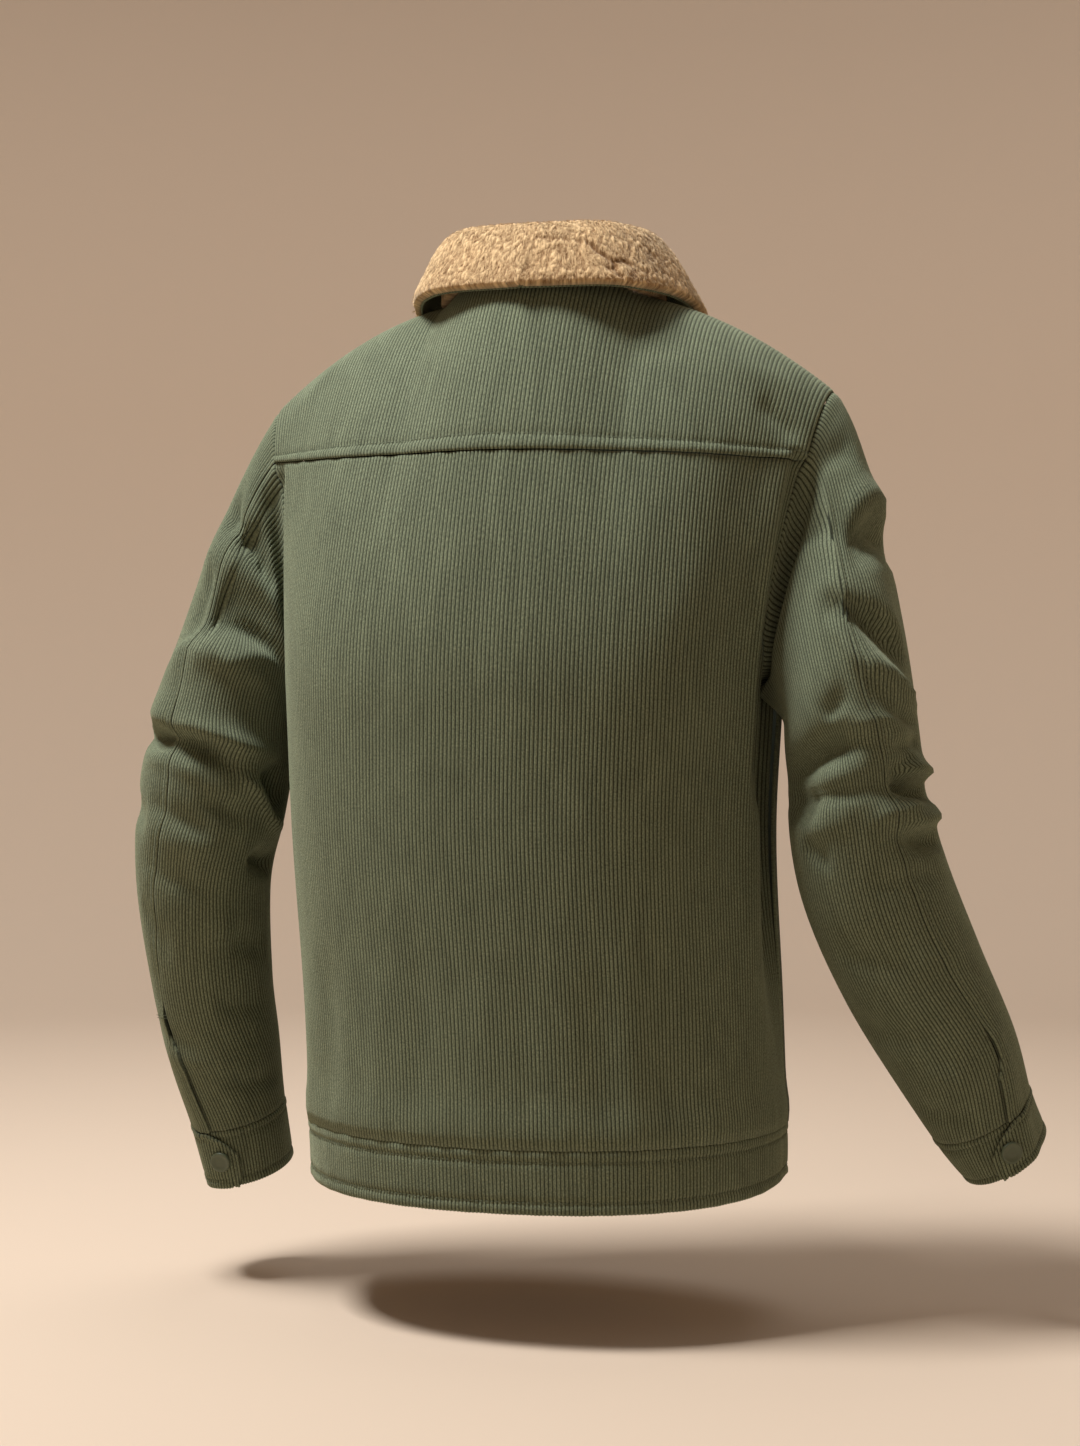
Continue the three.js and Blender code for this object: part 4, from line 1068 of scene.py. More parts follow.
def brushed_cotton_corduroy(tree):
    """Cut cotton pile in wales. Velvety and matt, with flecks, brushed streaks and painted shade in the
    grooves.
    """
    cloth = bpy.context.scene.jacket_cloth
    place = add_node(tree, "ShaderNodeUVMap", uv_map="cloth").outputs[0]
    apart = add_node(tree, "ShaderNodeSeparateXYZ", {0: place})
    # painted shade: the colour darkens from the top of each wale down into the groove beside it
    phase = calculate(tree, "FRACT", calculate(tree, "DIVIDE", apart.outputs[0], cloth.wale))
    from_top = calculate(tree, "ABSOLUTE", calculate(tree, "SUBTRACT", phase, 0.5))
    groove = spread(tree, from_top, 0.2, 0.5, 0.0, 1.0, interpolation_type="SMOOTHSTEP")
    # flecks of pile, about 1 mm long
    fleck = flat_noise(tree, place, (1100, 700), 3.0, 0.65)
    # each wale lies a little differently for a few centimetres
    streak = flat_noise(tree, place, (0.35 / cloth.wale, 24), 2.0)
    # brushed patches, 15 to 60 mm long, where the pile lies another way
    patch = flat_noise(tree, place, (58, 26), 5.0, 0.62, 0.6)
    patchy = spread(tree, patch, 0.32, 0.7, 0.93, 1.12)
    flecked = spread(tree, fleck, 0.25, 0.75, 0.55, 1.5)
    streaked = spread(tree, streak, 0.25, 0.75, 0.94, 1.06)
    tone = calculate(tree, "MULTIPLY", calculate(tree, "MULTIPLY", patchy, flecked), streaked)
    surface(tree, {
        "Base Color": toned(tree, blended(tree, groove, cloth.pile, cloth.groove), tone),
        "Roughness": 0.95, "IOR": 1.45, "Specular IOR Level": 0.15,
        "Sheen Weight": 0.35, "Sheen Roughness": 0.45, "Sheen Tint": colour_of(linear("#c9cfae")),
        "Normal": bumps(tree, fleck, 0.75, 0.0005),
    })


def woven_cotton_back(tree):
    """The plain woven back of the corduroy, seen inside. Flat and matt, with a fine diagonal weave."""
    place = add_node(tree, "ShaderNodeUVMap", uv_map="cloth").outputs[0]
    # a twill, drawn at 1.2 mm, because the real one of 0.5 mm would not show
    turned = add_node(tree, "ShaderNodeMapping", {0: place, 2: (0, 0, math.radians(60)), 3: (1, 1, 1)})
    twill = add_node(tree, "ShaderNodeTexWave", {0: turned.outputs[0], 1: 260.0, 2: 1.5, 3: 2.0}).outputs[1]
    tone = spread(tree, twill, 0.0, 1.0, 0.82, 1.08)
    surface(tree, {
        "Base Color": toned(tree, colour_of(bpy.context.scene.jacket_cloth.reverse), tone),
        "Roughness": 0.9, "Specular IOR Level": 0.2,
        "Normal": bumps(tree, twill, 0.4, 0.0002),
    })


def spun_sewing_thread(tree):
    """Spun sewing thread in the cloth's own colour. Small ribs, slightly brighter than the pile."""
    spot = add_node(tree, "ShaderNodeTexCoord")
    ply = add_node(tree, "ShaderNodeTexNoise", {0: spot.outputs["Object"], 2: 900.0, 3: 1.0}).outputs[0]
    tone = spread(tree, ply, 0.3, 0.7, 0.8, 1.15)
    surface(tree, {
        "Base Color": toned(tree, colour_of(bpy.context.scene.jacket_cloth.thread), tone),
        "Roughness": 0.7, "Specular IOR Level": 0.3,
    })


def curly_pile_fleece(tree):
    """Curly polyester pile. Warm tan on the curls, with painted shade in brown between them, soft at its
    edges.
    """
    fleece = bpy.context.scene.jacket_fleece
    place = add_node(tree, "ShaderNodeUVMap", uv_map="cloth").outputs[0]
    # the curl attribute paints shade: dark where the pile stands low, light on top of the curls
    depth = add_node(tree, "ShaderNodeAttribute", attribute_name="curl")
    # fibres lie down the collar, 0.8 mm wide and 2 mm long
    fibre = flat_noise(tree, place, (1250, 480), 3.0, 0.65, 0.8)
    patch = flat_noise(tree, place, (50, 40), 2.0)
    mixed = calculate(tree, "MULTIPLY_ADD", fibre, 0.8, depth.outputs["Fac"])
    blend = spread(tree, mixed, 0.42, 1.15, 0.0, 1.0)
    tone = spread(tree, patch, 0.3, 0.7, 0.9, 1.08)
    surface(tree, {
        "Base Color": toned(tree, blended(tree, blend, fleece.root, fleece.tip), tone),
        "Roughness": 1.0, "Specular IOR Level": 0.1,
        "Sheen Weight": 0.4, "Sheen Roughness": 0.5, "Sheen Tint": colour_of(linear("#fff0d2")),
        "Normal": bumps(tree, fibre, 0.8, 0.0007),
    })


def enamelled_snap(tree):
    """Brass pressed to a cap, enamelled in the cloth's colour. Satin, with a soft highlight on its rim."""
    spot = add_node(tree, "ShaderNodeTexCoord")
    grain = add_node(tree, "ShaderNodeTexNoise", {0: spot.outputs["Object"], 2: 700.0, 3: 2.0}).outputs[0]
    tone = spread(tree, grain, 0.3, 0.7, 0.94, 1.05)
    surface(tree, {
        "Base Color": toned(tree, colour_of(bpy.context.scene.jacket_cloth.enamel), tone),
        "Roughness": spread(tree, grain, 0.3, 0.7, 0.34, 0.48), "IOR": 1.5,
        "Normal": bumps(tree, grain, 0.15, 0.0001),
    })


def studio_paper(tree):
    """Matt backdrop paper, plain and pale."""
    paper = colour_of(bpy.context.scene.jacket_studio.paper)
    surface(tree, {"Base Color": paper, "Roughness": 1.0, "Specular IOR Level": 0.0})


def cloth_materials():
    """Both faces of the corduroy, the outer one first."""
    return [material_of(brushed_cotton_corduroy), material_of(woven_cotton_back)]


def wale_mm():
    return bpy.context.scene.jacket_cloth.wale / MM


def relief_mm():
    return bpy.context.scene.jacket_cloth.relief / MM


# Pieces


def all_cells(rows, columns):
    """Every cell of a grid, to be kept."""
    return np.ones((rows - 1, columns - 1), bool)


class JacketBack(bpy.types.Operator):
    """The plain back panel, with its drag lines and a valley along each armhole"""

    bl_idname = "jacket.back_panel"
    bl_label = "Back panel"

    def execute(self, context):
        edge = HALF_CHEST - SEAM_GAP / 2
        cloth, wales = wale_columns(-edge, edge, wale_mm())
        across = cloth / HALF_CHEST
        band_up = BAND_TOP_Z - CHEST_Z + SEAM_GAP / 2
        lower, upper = 44, 16
        top = scoop_up(across) - SEAM_GAP / 2
        up = [band_up + (top - band_up) * share for share in np.linspace(0, 1, lower + 1)]
        reach = ARMHOLE_ACROSS - SEAM_GAP / HALF_CHEST
        in_arm = np.clip(across, -reach, reach)
        yoke_edge = yoke_up(in_arm) - SEAM_GAP / 2
        up += [SCOOP + (yoke_edge - SCOOP) * share for share in np.linspace(0, 1, upper + 1)[1:]]
        up = np.array(up)
        wide = np.broadcast_to(across, up.shape).copy()
        wide[lower + 1 :] = in_arm
        inside = np.abs(across) <= ARMHOLE_ACROSS + 0.001
        keep = all_cells(*up.shape)
        keep[lower:] = (inside[1:] & inside[:-1])[None, :]
        above_band = up - band_up
        fullness = 2.2 * np.exp(-((above_band - 12) / 14) ** 2)
        point, normal = body_place(1, wide, up, fullness)
        relief = wales[None, :] * relief_mm() + pucker(wide * HALF_CHEST, above_band)
        relief += pucker(wide * HALF_CHEST + 40, yoke_edge[None, :] - up, 0.3)
        flat = np.stack([wide * HALF_CHEST, up], axis=-1)
        piece = cloth_mesh("back_panel", point, normal, flat, relief, keep, CORDUROY, cloth_materials())
        dress(piece, "back_panel")
        return {"FINISHED"}


class JacketYoke(bpy.types.Operator):
    """The yoke, over the shoulders to the front, with its lipped edge and one line of stitches"""

    bl_idname = "jacket.yoke"
    bl_label = "Yoke"

    def execute(self, context):
        edge = TIP_CLOTH - SEAM_GAP
        cloth, wales = wale_columns(-edge, edge, wale_mm())
        across = cloth / HALF_CHEST
        start = yoke_up(across) + SEAM_GAP / 2
        top = top_up(1, across)
        inches = rows_with(np.linspace(0, 150, 26), YOKE_STITCH)
        inches = np.unique(np.concatenate([inches, [0, 0.5, 1.2, 2.4]]))
        shares = inches / inches.max()
        length = np.full_like(shares, 1.0)[:, None] * (top - start)[None, :]
        # near the edge the rows keep their distance to it, and farther up they spread to the shoulder
        near = ease((inches / inches.max() - 0.12) / 0.5)[:, None]
        up_back = start + (inches[:, None] * (1 - near) + shares[:, None] * length * near)
        over = np.linspace(0, 1, 6)[1:]
        up_front = COLUMN - over[:, None] * (FRONT_YOKE - SEAM_GAP / 2) + 0 * across[None, :]
        up = np.concatenate([up_back, up_front])
        side = np.concatenate([np.ones_like(up_back), -np.ones_like(up_front)])
        from_edge = np.where(side > 0, up - start, 1000)
        # the folded edge is thick and rolls in at its very end
        lip = 1.5 * np.sqrt(np.clip(from_edge / 1.6, 0, 1)) - 1.0 * ease((from_edge - 2) / 8)
        front_edge = np.where(side < 0, up - (COLUMN - FRONT_YOKE), 1000)
        lip = np.where(front_edge < 30, 0.7 * np.exp(-(front_edge / 5) ** 2), lip)
        wide = np.broadcast_to(across, up.shape)
        point, normal = body_place(side, wide, up, YOKE_LIFT + lip)
        relief = wales[None, :] * relief_mm() + trough(from_edge - YOKE_STITCH)
        relief += pucker(wide * HALF_CHEST, from_edge - YOKE_STITCH, 0.35, 8)
        relief -= 0.9 * np.exp(-((np.abs(wide) * HALF_CHEST - edge) / 1.6) ** 2)
        keep = all_cells(*up.shape)
        shoulder = np.abs(across) >= NECK_ACROSS
        keep[len(up_back) - 1 :] = (shoulder[1:] | shoulder[:-1])[None, :]
        along = np.where(side > 0, up, 2 * COLUMN - up)
        flat = np.stack([wide * HALF_CHEST, along], axis=-1)
        thick = CORDUROY + YOKE_LIFT
        piece = cloth_mesh("yoke", point, normal, flat, relief, keep, thick, cloth_materials())
        dress(piece, "yoke")
        line_across = np.linspace(across[0], across[-1], 300)
        line_up = yoke_up(line_across) + SEAM_GAP / 2 + YOKE_STITCH
        sew("yoke", *body_place(1, line_across, line_up, YOKE_LIFT + 0.7))
        return {"FINISHED"}


def front_panel(name, sign):
    """A front, from its edge at the centre to the side seam. The left one lies over the right."""
    edge = -(FRONT_LAP["over"] if sign > 0 else FRONT_LAP["under"])
    cloth, wales = wale_columns(edge, HALF_CHEST - SEAM_GAP / 2, wale_mm(), (0, 0.5))
    across = cloth / HALF_CHEST
    band_up = BAND_TOP_Z - CHEST_Z + SEAM_GAP / 2
    lower, upper, in_neck = 40, 14, 4
    top = scoop_up(across) - SEAM_GAP / 2
    up = [band_up + (top - band_up) * share for share in np.linspace(0, 1, lower + 1)]
    in_arm = np.minimum(across, ARMHOLE_ACROSS - SEAM_GAP / HALF_CHEST)
    neck_edge = top_up(-1, sign * np.minimum(in_arm, ARMHOLE_ACROSS))
    yoke_edge = COLUMN - FRONT_YOKE - SEAM_GAP / 2
    yoke_at = SCOOP + (neck_edge - SCOOP) * (yoke_edge - SCOOP) / (COLUMN - SCOOP)
    up += [SCOOP + (yoke_at - SCOOP) * share for share in np.linspace(0, 1, upper + 1)[1:]]
    by_neck = np.minimum(in_arm, NECK_ACROSS - SEAM_GAP * 2 / HALF_CHEST)
    neck_top = top_up(-1, sign * by_neck)
    up += [yoke_at + (neck_top - yoke_at) * share for share in np.linspace(0, 1, in_neck + 1)[1:]]
    up = np.array(up)
    wide = np.broadcast_to(across, up.shape).copy()
    wide[lower + 1 :] = in_arm
    wide[lower + upper + 1 :] = by_neck
    keep = all_cells(*up.shape)
    in_armhole = across <= ARMHOLE_ACROSS + 0.001
    keep[lower:] = (in_armhole[1:] & in_armhole[:-1])[None, :]
    neck = across <= NECK_ACROSS + 0.001
    keep[lower + upper :] = (neck[1:] & neck[:-1])[None, :]
    lift = front_lift(wide * HALF_CHEST) if sign > 0 else 0 * wide
    above_band = up - band_up
    fullness = 2.0 * np.exp(-((above_band - 12) / 14) ** 2) * ease((wide * HALF_CHEST - 40) / 40)
    point, normal = body_place(-1, sign * wide, up, lift + fullness)
    from_edge = wide * HALF_CHEST - edge
    placket = sum(trough(from_edge - inset) for inset in PLACKET_STITCHES) if sign > 0 else 0
    relief = wales[None, :] * relief_mm() + placket + pucker(wide * HALF_CHEST, above_band)
    flat = np.stack([wide * HALF_CHEST + 700 * sign, up], axis=-1)
    piece = cloth_mesh(name, point, normal, flat, relief, keep, CORDUROY, cloth_materials())
    dress(piece, name)
    if sign > 0:
        for inset in PLACKET_STITCHES:
            at = np.full(260, (edge + inset) / HALF_CHEST)
            line = np.linspace(band_up + 2, float(top_up(-1, at[:1])[0]) - 4, len(at))
            lift = front_lift(np.full(len(at), edge + inset)) - 0.4
            sew("front", *body_place(-1, at, line, lift))


class JacketFronts(bpy.types.Operator):
    """The two fronts, the left lapped over the right, with a stitched placket"""

    bl_idname = "jacket.fronts"
    bl_label = "Fronts"

    def execute(self, context):
        front_panel("front_left", 1)
        front_panel("front_right", -1)
        return {"FINISHED"}


def round_hem(place):
    """The side and the place across it, by the cloth from the centre front round the hem."""
    side = np.where((place < HALF_CHEST) | (place > 3 * HALF_CHEST), -1.0, 1.0)
    farther = np.where(side > 0, 2 * HALF_CHEST - place, place - 4 * HALF_CHEST)
    return side, np.where(place < HALF_CHEST, place, farther) / HALF_CHEST


def up_band(across, height):
    """How far up a height on the waistband is. The hem rises a little towards the side seams."""
    rise = HEM_RISE * across**4
    return HEM_Z - CHEST_Z + rise + height * (BAND_TALL - rise) / BAND_TALL


def rounded_edge(distance, peak, width):
    """How a doubled edge is rolled: low at its fold, and a little high beside it."""
    fold = 1.3 * np.sqrt(np.clip(distance / 2.2, 0, 1)) - 1.3
    return fold + 0.5 * np.exp(-(((distance - peak) / width) ** 2))


class JacketWaistband(bpy.types.Operator):
    """The waistband, doubled, with a line of stitches below its top seam and one above its edge"""

    bl_idname = "jacket.waistband"
    bl_label = "Waistband"

    def execute(self, context):
        # cloth runs from the left front's edge round the left side, the back and the right side
        over, tall = FRONT_LAP["over"], BAND_TALL
        length = over + HALF_CHEST * 4 + FRONT_LAP["under"]
        cloth, wales = wale_columns(0, length, wale_mm(), (0, 0.5))
        side, across = round_hem(cloth - over)
        heights = rows_with(np.linspace(0, tall, 10), BAND_STITCH, tall - BAND_STITCH)
        heights = np.unique(np.concatenate([heights, [0.8, 2, tall - 2, tall - 0.8]]))
        up = up_band(across[None, :], heights[:, None])
        from_ends = np.minimum(heights, tall - heights)[:, None]
        lift = front_lift(cloth - over)[None, :] + BAND_LIFT + rounded_edge(from_ends, 3.5, 2.5)
        wide = np.broadcast_to(across, up.shape)
        point, normal = body_place(np.broadcast_to(side, up.shape), wide, up, lift)
        lines = trough(heights - BAND_STITCH) + trough(tall - heights - BAND_STITCH)
        relief = wales[None, :] * relief_mm() + lines[:, None]
        relief = relief + pucker(cloth[None, :], from_ends - BAND_STITCH, 0.4, 9)
        flat = np.stack([np.broadcast_to(cloth, up.shape), up], axis=-1)
        keep = all_cells(*up.shape)
        piece = cloth_mesh("waistband", point, normal, flat, relief, keep, DOUBLED, cloth_materials())
        dress(piece, "waistband")
        dense = np.linspace(3, length - 3, 700) - over
        line_side, line_across = round_hem(dense)
        for height in (BAND_STITCH, tall - BAND_STITCH):
            line_up = up_band(line_across, height)
            sew("waistband", *body_place(line_side, line_across, line_up, front_lift(dense) + 0.35))
        return {"FINISHED"}


# Rows of a sleeve, closer where it bends
SLEEVE_ROWS = np.concatenate([
    np.linspace(-1, 0, 35)[:-1], np.linspace(0, 2, 33)[:-1], np.linspace(2, CUFF_RUN, 34),
])


def sleeve_panel(sleeve, name, anchor, start_of, end, lift_of, relief_of):
    """One panel of a sleeve. Its wales run beside the back seam, the anchor. The other seam cuts them."""
    runs = SLEEVE_ROWS
    girth = sleeve.girth(runs)
    start = start_of(runs)
    least, most = np.min((start - anchor) * girth), np.max((end - anchor) * girth)
    cloth, wales = wale_columns(least, most, wale_mm())
    around = np.clip(anchor + cloth[None, :] / girth[:, None], start[:, None], end)
    keep = wide_cells(around)
    run = np.broadcast_to(runs[:, None], around.shape).copy()
    run = np.minimum(run, CUFF_RUN - SEAM_GAP / 2 / RUN_LENGTH)
    run[0] = sleeve.start_run(around[0])
    past_start = (around - start[:, None]) * girth[:, None]
    before_end = (end - around) * girth[:, None]
    point, normal = sleeve.place(run, around, lift_of(run, past_start, before_end))
    clamped = (around - anchor) * girth[:, None]
    at_edge = np.minimum(past_start, before_end) < 0.02
    relief = wale_relief(at_edge, wales) + relief_of(run, past_start, before_end)
    down = np.where(run < 0, run * CAP_LENGTH, run * RUN_LENGTH)
    flat = np.stack([clamped, -down], axis=-1)
    piece = cloth_mesh(name, point, normal, flat, relief, keep, CORDUROY, cloth_materials())
    dress(piece, name)


def wide_cells(columns):
    """The cells of a grid that have a width, where an edge that runs askew cuts its columns."""
    flat_cell = np.isclose(columns[:, :-1], columns[:, 1:])
    return ~(flat_cell[:-1] & flat_cell[1:])


def wale_relief(at_edge, wales):
    """The grooves between the wales. The cloth's edge is pressed flat, half a groove deep."""
    return np.where(at_edge, -0.5, np.broadcast_to(wales, at_edge.shape)) * relief_mm()


def seam_roll(past):
    """Cloth turns in at a seam."""
    return -0.6 * np.exp(-((past / 1.6) ** 2))


def armhole_roll(run):
    """The top of a sleeve turns in at the armhole, with a low roll below."""
    below = (run + 1) * CAP_LENGTH
    return -0.9 * np.exp(-((below / 3) ** 2)) + 0.6 * np.exp(-(((below - 8) / 5) ** 2))


class JacketSleeves(bpy.types.Operator):
    """Two-piece sleeves. The upper one laps over the under one at the slit above the cuff"""

    bl_idname = "jacket.sleeves"
    bl_label = "Sleeves"

    def execute(self, context):
        for side in OUTWARDS:
            sleeve = Sleeve(side)
            gap = SEAM_GAP * 0.75 / SLEEVE_GIRTH
            self.under_sleeve(sleeve, gap)
            self.upper_sleeve(sleeve, gap)
        return {"FINISHED"}

    def under_sleeve(self, sleeve, gap):
        end = sleeve.seam - gap

        def start_of(runs):
            return np.full_like(runs, gap)

        def lift_of(run, past, before):
            return 0 * run

        def relief_of(run, past, before):
            above_slit = ease((sleeve.slit_top - run) * 3)
            return seam_roll(before) * above_slit + armhole_roll(run) * ease((run + 1) * 60)

        name = f"under_sleeve_{sleeve.side}"
        sleeve_panel(sleeve, name, end, start_of, end, lift_of, relief_of)

    def upper_sleeve(self, sleeve, gap):
        anchor, end = sleeve.seam + gap, 1 - gap

        def opened(runs, later=0.0):
            return ease((runs - sleeve.slit_top) / SLIT_LAP["opens"] - later)

        def start_of(runs):
            return sleeve.seam + gap - SLIT_LAP["over"] * opened(runs, 1.6) / SLEEVE_GIRTH

        def leaf_lift(run, past, girth):
            over = SLIT_LAP["over"] * opened(run, 1.6) * girth / SLEEVE_GIRTH
            ramp = ease((SLIT_LAP["ramp"] - (past - over)) / SLIT_LAP["ramp"])
            return (CORDUROY + LAP_GAP["sleeve"]) * opened(run) * ramp

        def lift_of(run, past, before):
            return leaf_lift(run, past, sleeve.girth(run[:, 0])[:, None])

        def relief_of(run, past, before):
            closed = 1 - opened(run)
            line = trough(past - SLIT_STITCH) * 0.6
            ridge = 0.35 * np.exp(-((past - 2.6) / 1.6) ** 2)
            rolls = seam_roll(past) * (0.45 + 0.55 * closed) + line + ridge
            ripples = pucker(run * RUN_LENGTH, past - SLIT_STITCH, 0.35, 7)
            return rolls + armhole_roll(run) * ease((run + 1) * 60) + ripples

        name = f"upper_sleeve_{sleeve.side}"
        sleeve_panel(sleeve, name, anchor, start_of, end, lift_of, relief_of)
        runs = np.linspace(-0.97, CUFF_RUN - 0.03, 420)
        girth = sleeve.girth(runs)
        lift = leaf_lift(runs, SLIT_STITCH, girth)
        sew("sleeve", *sleeve.place(runs, start_of(runs) + SLIT_STITCH / girth, lift - 0.55))
        # the cross tack that holds the top of the slit
        tack_at = np.full(30, sleeve.slit_top + SLIT_LAP["opens"] * 0.6)
        tack_run = tack_at + np.linspace(0, 0.06, 30)
        tack_around = start_of(tack_at) + np.linspace(-6, 13, 30) / sleeve.girth(tack_at)
        for shift in (0, 0.035):
            sew("sleeve", *sleeve.place(tack_run + shift, tack_around, lift[300] + 0.6), step=2.6)


class JacketCuffs(bpy.types.Operator):
    """The cuffs, each with a rounded tab that laps over the slit, edge stitched"""

    bl_idname = "jacket.cuffs"
    bl_label = "Cuffs"

    def execute(self, context):
        for side in OUTWARDS:
            self.cuff(Sleeve(side))
        return {"FINISHED"}

    def cuff(self, sleeve):
        tall = CUFF_TALL
        downs = rows_with(np.linspace(0, tall, 12), CUFF_STITCH, tall - CUFF_STITCH - 1)
        downs = np.unique(np.concatenate([downs, [0.7, 1.8, tall - 1.8, tall - 0.7]])) / tall
        end = CUFF_GIRTH + CUFF_LAP["under"] - 2
        cloth, wales = wale_columns(-CUFF_LAP["over"], end, wale_mm())
        start = -CUFF_LAP["over"] * tab_reach(downs)
        past = np.maximum(cloth[None, :], start[:, None])
        down = np.broadcast_to(downs[:, None], past.shape)
        from_top, from_end = down * tall, (1 - down) * tall
        from_tab = past[..., None] - start[None, None, :], (down[..., None] - downs[None, None, :]) * tall
        near_tab = np.min(np.hypot(*from_tab), axis=-1)
        rim = np.minimum(np.minimum(from_top + np.where(past < 3, 50, 0), from_end), near_tab)
        point, normal = sleeve.cuff_place(down, past, rounded_edge(rim, 3, 2.4))
        lines = trough(from_top - CUFF_STITCH) * (past > 0)
        lines = lines + trough(from_end - CUFF_STITCH - 1) * (past > -14)
        lines = lines + trough(near_tab - TAB_STITCH) * (past < 6)
        relief = wale_relief(past <= start[:, None] + 0.02, wales) + np.maximum(lines, -TROUGH_DEPTH)
        flat = np.stack([past, -down * tall], axis=-1)
        name = f"cuff_{sleeve.side}"
        piece = cloth_mesh(
            name, point, normal, flat, relief, wide_cells(past), DOUBLED, cloth_materials()
        )
        dress(piece, name)
        for height, first in ((CUFF_STITCH / tall, 4), (1 - (CUFF_STITCH + 1) / tall, -12)):
            sew("cuffs", *sleeve.cuff_place(height, np.linspace(first, end - 30, 200)))
        inner = np.linspace(0.16, 0.82, 60)
        rim_line = -CUFF_LAP["over"] * tab_reach(inner) + TAB_STITCH + 3 * (1 - ease(inner * 4))
        sew("cuffs", *sleeve.cuff_place(inner, rim_line))


def pile_height(x, y, curl):
    """How far the pile stands out at a place, from 0 between the curls to 1, and how far it parts."""
    spot = Vector((x / curl * 1.15, y / (curl * 2.3), 0))
    warp = noise.noise_vector(spot * 0.5) * 0.7 + noise.noise_vector(spot * 1.7) * 0.3
    distances, _ = noise.voronoi(spot + warp, distance_metric="DISTANCE")
    clump = min(max((distances[1] - distances[0]) * 1.9, 0), 1)
    strand = 0.5 + 0.5 * noise.noise(Vector((x / (curl * 0.42), y / (curl * 1.3), 5)) + warp)
    parting = abs(noise.noise(Vector((x / (curl * 3.4), y / (curl * 4.6), 9)) + warp * 0.25))
    return clump * 0.6 + strand * 0.4, min(parting / 0.1, 1)


# The deepest parting of the pile, on the right of the back of the collar, as places (turn, down)
PARTINGS = (
    ((-26, 0.72), (-31, 0.78), (-36, 0.86), (-38, 0.96), 2.3),
    ((-36, 0.86), (-41, 0.85), (-44, 0.88), 1.6),
    ((-34, 0.83), (-34, 0.9), (-36, 0.95), 1.3),
    ((-6, 0.66), (-16, 0.68), (-26, 0.72), 0.8),
    ((-56, 0.7), (-60, 0.78), (-61, 0.88), 0.8),
)
FLEECE_WIDE = 1.9
FLEECE_LONG = 105
# Seeds the noise that bends the curls, which would otherwise go by the time of day
PILE_SEED = 7


def parting_depth(turn, down):
    """How deep the placed partings are at places on the collar."""
    depth = np.zeros(turn.shape)
    x, y = turn * FLEECE_WIDE + 1.4 * np.sin(down * FLEECE_LONG / 2.3), down * FLEECE_LONG
    for *path, deep in PARTINGS:
        for (t0, d0), (t1, d1) in zip(path[:-1], path[1:]):
            ax, bx = t0 * FLEECE_WIDE, t1 * FLEECE_WIDE
            ay, by = d0 * FLEECE_LONG, d1 * FLEECE_LONG
            along = (x - ax) * (bx - ax) + (y - ay) * (by - ay)
            share = np.clip(along / ((bx - ax) ** 2 + (by - ay) ** 2), 0, 1)
            away = np.hypot(x - ax - share * (bx - ax), y - ay - share * (by - ay))
            depth = np.maximum(depth, deep * np.exp(-((away / 1.9) ** 2)))
    return depth


